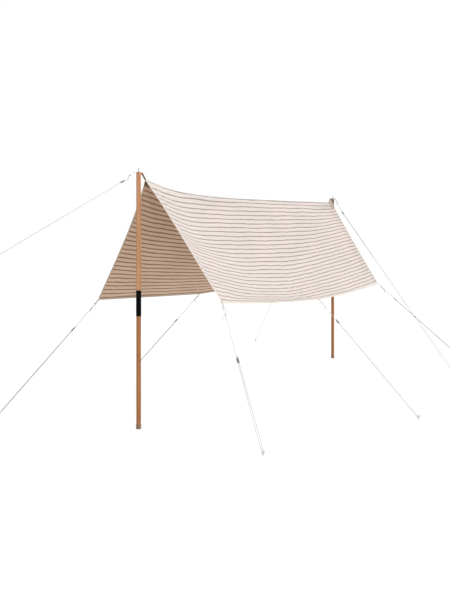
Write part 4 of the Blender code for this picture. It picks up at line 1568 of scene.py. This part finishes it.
def build_rope_tree():
    tree = bpy.data.node_groups.new("laid rope", "GeometryNodeTree")
    given, result = tree_sockets(tree, [
        ("Geometry", "geometry"), ("Rope Radius", "float"), ("Lay Length", "float"),
        ("Strands", "float"), ("Step", "float"), ("Rope", "material"),
    ])
    spec = {"Curve": given["Geometry"], "Length": given["Step"]}
    route = place(tree, "GeometryNodeResampleCurve", spec, mode="LENGTH")
    run = place(tree, "GeometryNodeSplineParameter").outputs["Length"]
    turns = work_out(tree, "DIVIDE", run, given["Lay Length"])
    spec = {"Curve": route.outputs[0], "Tilt": work_out(tree, "MULTIPLY", turns, 2.0 * math.pi)}
    twisted = place(tree, "GeometryNodeSetCurveTilt", spec)
    rope = place(tree, "GeometryNodeCurveToMesh", {
        "Curve": twisted.outputs[0], "Profile Curve": lobed_section(tree, given), "Fill Caps": True,
    })
    smooth = place(tree, "GeometryNodeSetShadeSmooth", {0: rope.outputs[0]})
    solid = place(tree, "GeometryNodeRealizeInstances", {0: smooth.outputs[0]})
    spec = {0: solid.outputs[0], "Material": given["Rope"]}
    done = place(tree, "GeometryNodeSetMaterial", spec)
    tree.links.new(done.outputs[0], result["Geometry"])
    return tree


ROPE_TREE = build_rope_tree()
print("rope tree", len(ROPE_TREE.nodes), "nodes")

# %% Rope routes
PEG_RADIUS, SPIKE_RADIUS = 0.003, 0.004
SLIDER_LENGTH, SLIDER_BORE_OFFSET, SLIDER_LEAD = 0.038, 0.0045, 0.004
LOOP_SPREAD_AT = 0.92
EYE_LENGTH, SPIKE_EYE_LENGTH = 0.042, 0.08
KNOT_SIZE, STOPPER_SIZE = 0.0023, 0.0020


def rope_frame(start, peg):
    along = (peg - start).normalized()
    return along, along.cross(Vector((0.0, 0.0, 1.0))).normalized()


def half_turn(centre, radius, first, second, steps=10):
    """Arc from first through second to the side opposite to first."""
    turns = [math.pi * number / steps for number in range(steps + 1)]
    return [centre + radius * (first * math.cos(turn) + second * math.sin(turn)) for turn in turns]


def knot_line(centre, along, across, size):
    """Closed overhand knot, lying flat along the rope."""
    up = along.cross(across)
    line = []
    for turn in np.linspace(0.0, 2.0 * math.pi, 48, endpoint=False):
        x = math.sin(turn) + 2.0 * math.sin(2.0 * turn)
        y = math.cos(turn) - 2.0 * math.cos(2.0 * turn)
        z = -math.sin(3.0 * turn)
        line.append(centre + (along * x * 1.15 + across * y * 0.8 + up * z * 1.05) * size)
    return line


def loose_end(start, first, length, sway):
    """Short free end that bends over under its own weight."""
    line = [start]
    direction = first.normalized()
    for _ in range(8):
        direction = (direction + Vector((0.0, 0.0, -0.16)) + sway * 0.03).normalized()
        line.append(line[-1] + direction * length / 8)
    return line


def loop_route(start, peg, slider_at, half_spread):
    """Way through the slider, round the peg and back into the slider, and its stopper's place."""
    along, across = rope_frame(start, peg)
    centre = start + along * slider_at
    half = SLIDER_LENGTH / 2
    lead = along * (half + SLIDER_LEAD)
    outer, inner = across * SLIDER_BORE_OFFSET, across * -SLIDER_BORE_OFFSET
    spread = start.lerp(peg, LOOP_SPREAD_AT)
    level = Vector((along.x, along.y, 0.0)).normalized()
    points = [centre - lead + outer, centre + lead + outer, spread + across * half_spread]
    points += half_turn(peg, PEG_RADIUS + ROPE_RADIUS + GAP, across, level)
    points += [
        spread - across * half_spread, centre + lead + inner,
        centre - along * (half + 0.002) + inner, centre - along * (half + 0.007) + inner,
    ]
    stopper = centre - along * (half + 0.0095) + inner - across * 0.001
    return points, stopper, along, across


def tab_head(where):
    """Eye through the tab's channel, its knot, and where the single strand starts."""
    root, direction, across, _, _ = tab_frame(where)
    channel = root + direction * (TAB_LENGTH - 0.0040)
    cad_start = root + direction * (TAB_LENGTH + ROPE_LEAD)
    along, _ = rope_frame(cad_start, peg_spot(where))
    knot = cad_start + along * EYE_LENGTH
    side_step = across * (TAB_WIDTH / 2 + 0.003)
    past = channel + direction * 0.010
    eye = [knot - across * 0.0022, past - side_step * 0.92, channel - side_step]
    eye += [channel + side_step, past + side_step * 0.92, knot + across * 0.0022]
    return cad_start, knot, rounded(eye, 0.002, 3)


def spike_head(where):
    """Eye round the spike on top of the strap, its knot, and where the single strand starts."""
    pole_x = 0.0 if where == "front" else POLE_SPACING
    start = Vector((pole_x, 0.0, POLE_HEIGHT + STRAP_THICKNESS + ROPE_RADIUS + 2 * GAP))
    peg = peg_spot(where)
    level = Vector((peg.x - start.x, peg.y - start.y, 0.0)).normalized()
    across = level.cross(Vector((0.0, 0.0, 1.0))).normalized()
    edge = start + level * (POLE_RADIUS + 0.010)
    knot = edge + (peg - edge).normalized() * SPIKE_EYE_LENGTH
    eye = [knot - across * 0.0023, edge - across * 0.004]
    eye += half_turn(start, SPIKE_RADIUS + ROPE_RADIUS + GAP, -across, -level)
    eye += [edge + across * 0.004, knot + across * 0.0023]
    return start, knot, rounded(eye, 0.002, 2)


def rope_lines(where):
    """Lines of the rope, its stopper knot last, and of the eye's knot and loose end."""
    guy, peg = GUYS[where], peg_spot(where)
    start, knot, eye = tab_head(where) if "_" in where else spike_head(where)
    points, stopper, along, across = loop_route(start, peg, guy["slider"], guy["spread"])
    runs = [eye, [knot, *points], knot_line(stopper, across, along, STOPPER_SIZE)]
    tail_first = across * 0.5 - along * 0.1 + Vector((0.0, 0.0, -0.5))
    tail = loose_end(knot + across * 0.004, tail_first, 0.045, across)
    return runs, [knot_line(knot, along, across, KNOT_SIZE), tail]

# %% Ropes
def grow_rope(name, lines, finish, closed):
    mesh = grow(name, lines, ROPE_TREE, {
        "Rope Radius": STRAND_REACH, "Lay Length": 0.030, "Strands": 3.0, "Step": 0.0032,
        "Rope": finish,
    }, closed)
    return add_piece(name, mesh, "cream_rope")


def build_rope(where, finish):
    runs, ties = rope_lines(where)
    rope = grow_rope(f"{where}_rope", runs, finish, {2})
    knot = grow_rope(f"{where}_knot", ties, finish if "_" in where else TAN_CORD, {0})
    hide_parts(f"{where}_guy_rope")
    faces = len(rope.data.polygons) + len(knot.data.polygons)
    length = sum((b - a).length for line in runs[:2] for a, b in zip(line, line[1:]))
    print(rope.name, faces, "faces,", round(length, 2), "m of rope")


# Each rope takes the copy whose painted shade matches the light it is seen in.
ROPE_FINISHES = {
    "front": PALE_ROPE, "back": SHADED_ROPE, "front_right": LIGHT_SHADE_ROPE, "front_left": DEEPER_SHADE_ROPE,
    "mid_right": LIGHT_SHADE_ROPE, "mid_left": DEEPEST_SHADE_ROPE, "back_right": DEEPEST_SHADE_ROPE, "back_left": PALE_ROPE,
}
for where, finish in ROPE_FINISHES.items():
    build_rope(where, finish)

# %% [markdown]
# ## Poles, sliders and pegs
#
# These CAD shapes are right as they are, so they stay and get their finishes.

# %% Finishes for the CAD pieces
def dress(node_name, finish):
    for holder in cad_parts[node_name].material_slots:
        holder.material = finish


POLE_FINISHES = {
    "upper": WOOD_UPPER, "lower": WOOD_LOWER, "sleeve": BLACK_TUBE, "foot": RUBBER, "spike": STEEL,
}
for end in ("front", "back"):
    for section, finish in POLE_FINISHES.items():
        dress(f"{end}_pole_{section}", finish)
for where in GUYS:
    dress(f"{where}_slider", SLIDER_PLASTIC)
    dress(f"{where}_peg", STEEL)
print("dressed", 2 * len(POLE_FINISHES) + 2 * len(GUYS), "CAD pieces")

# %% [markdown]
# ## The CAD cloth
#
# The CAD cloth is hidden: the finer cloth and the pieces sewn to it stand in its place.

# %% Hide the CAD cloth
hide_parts("canopy_sheet")
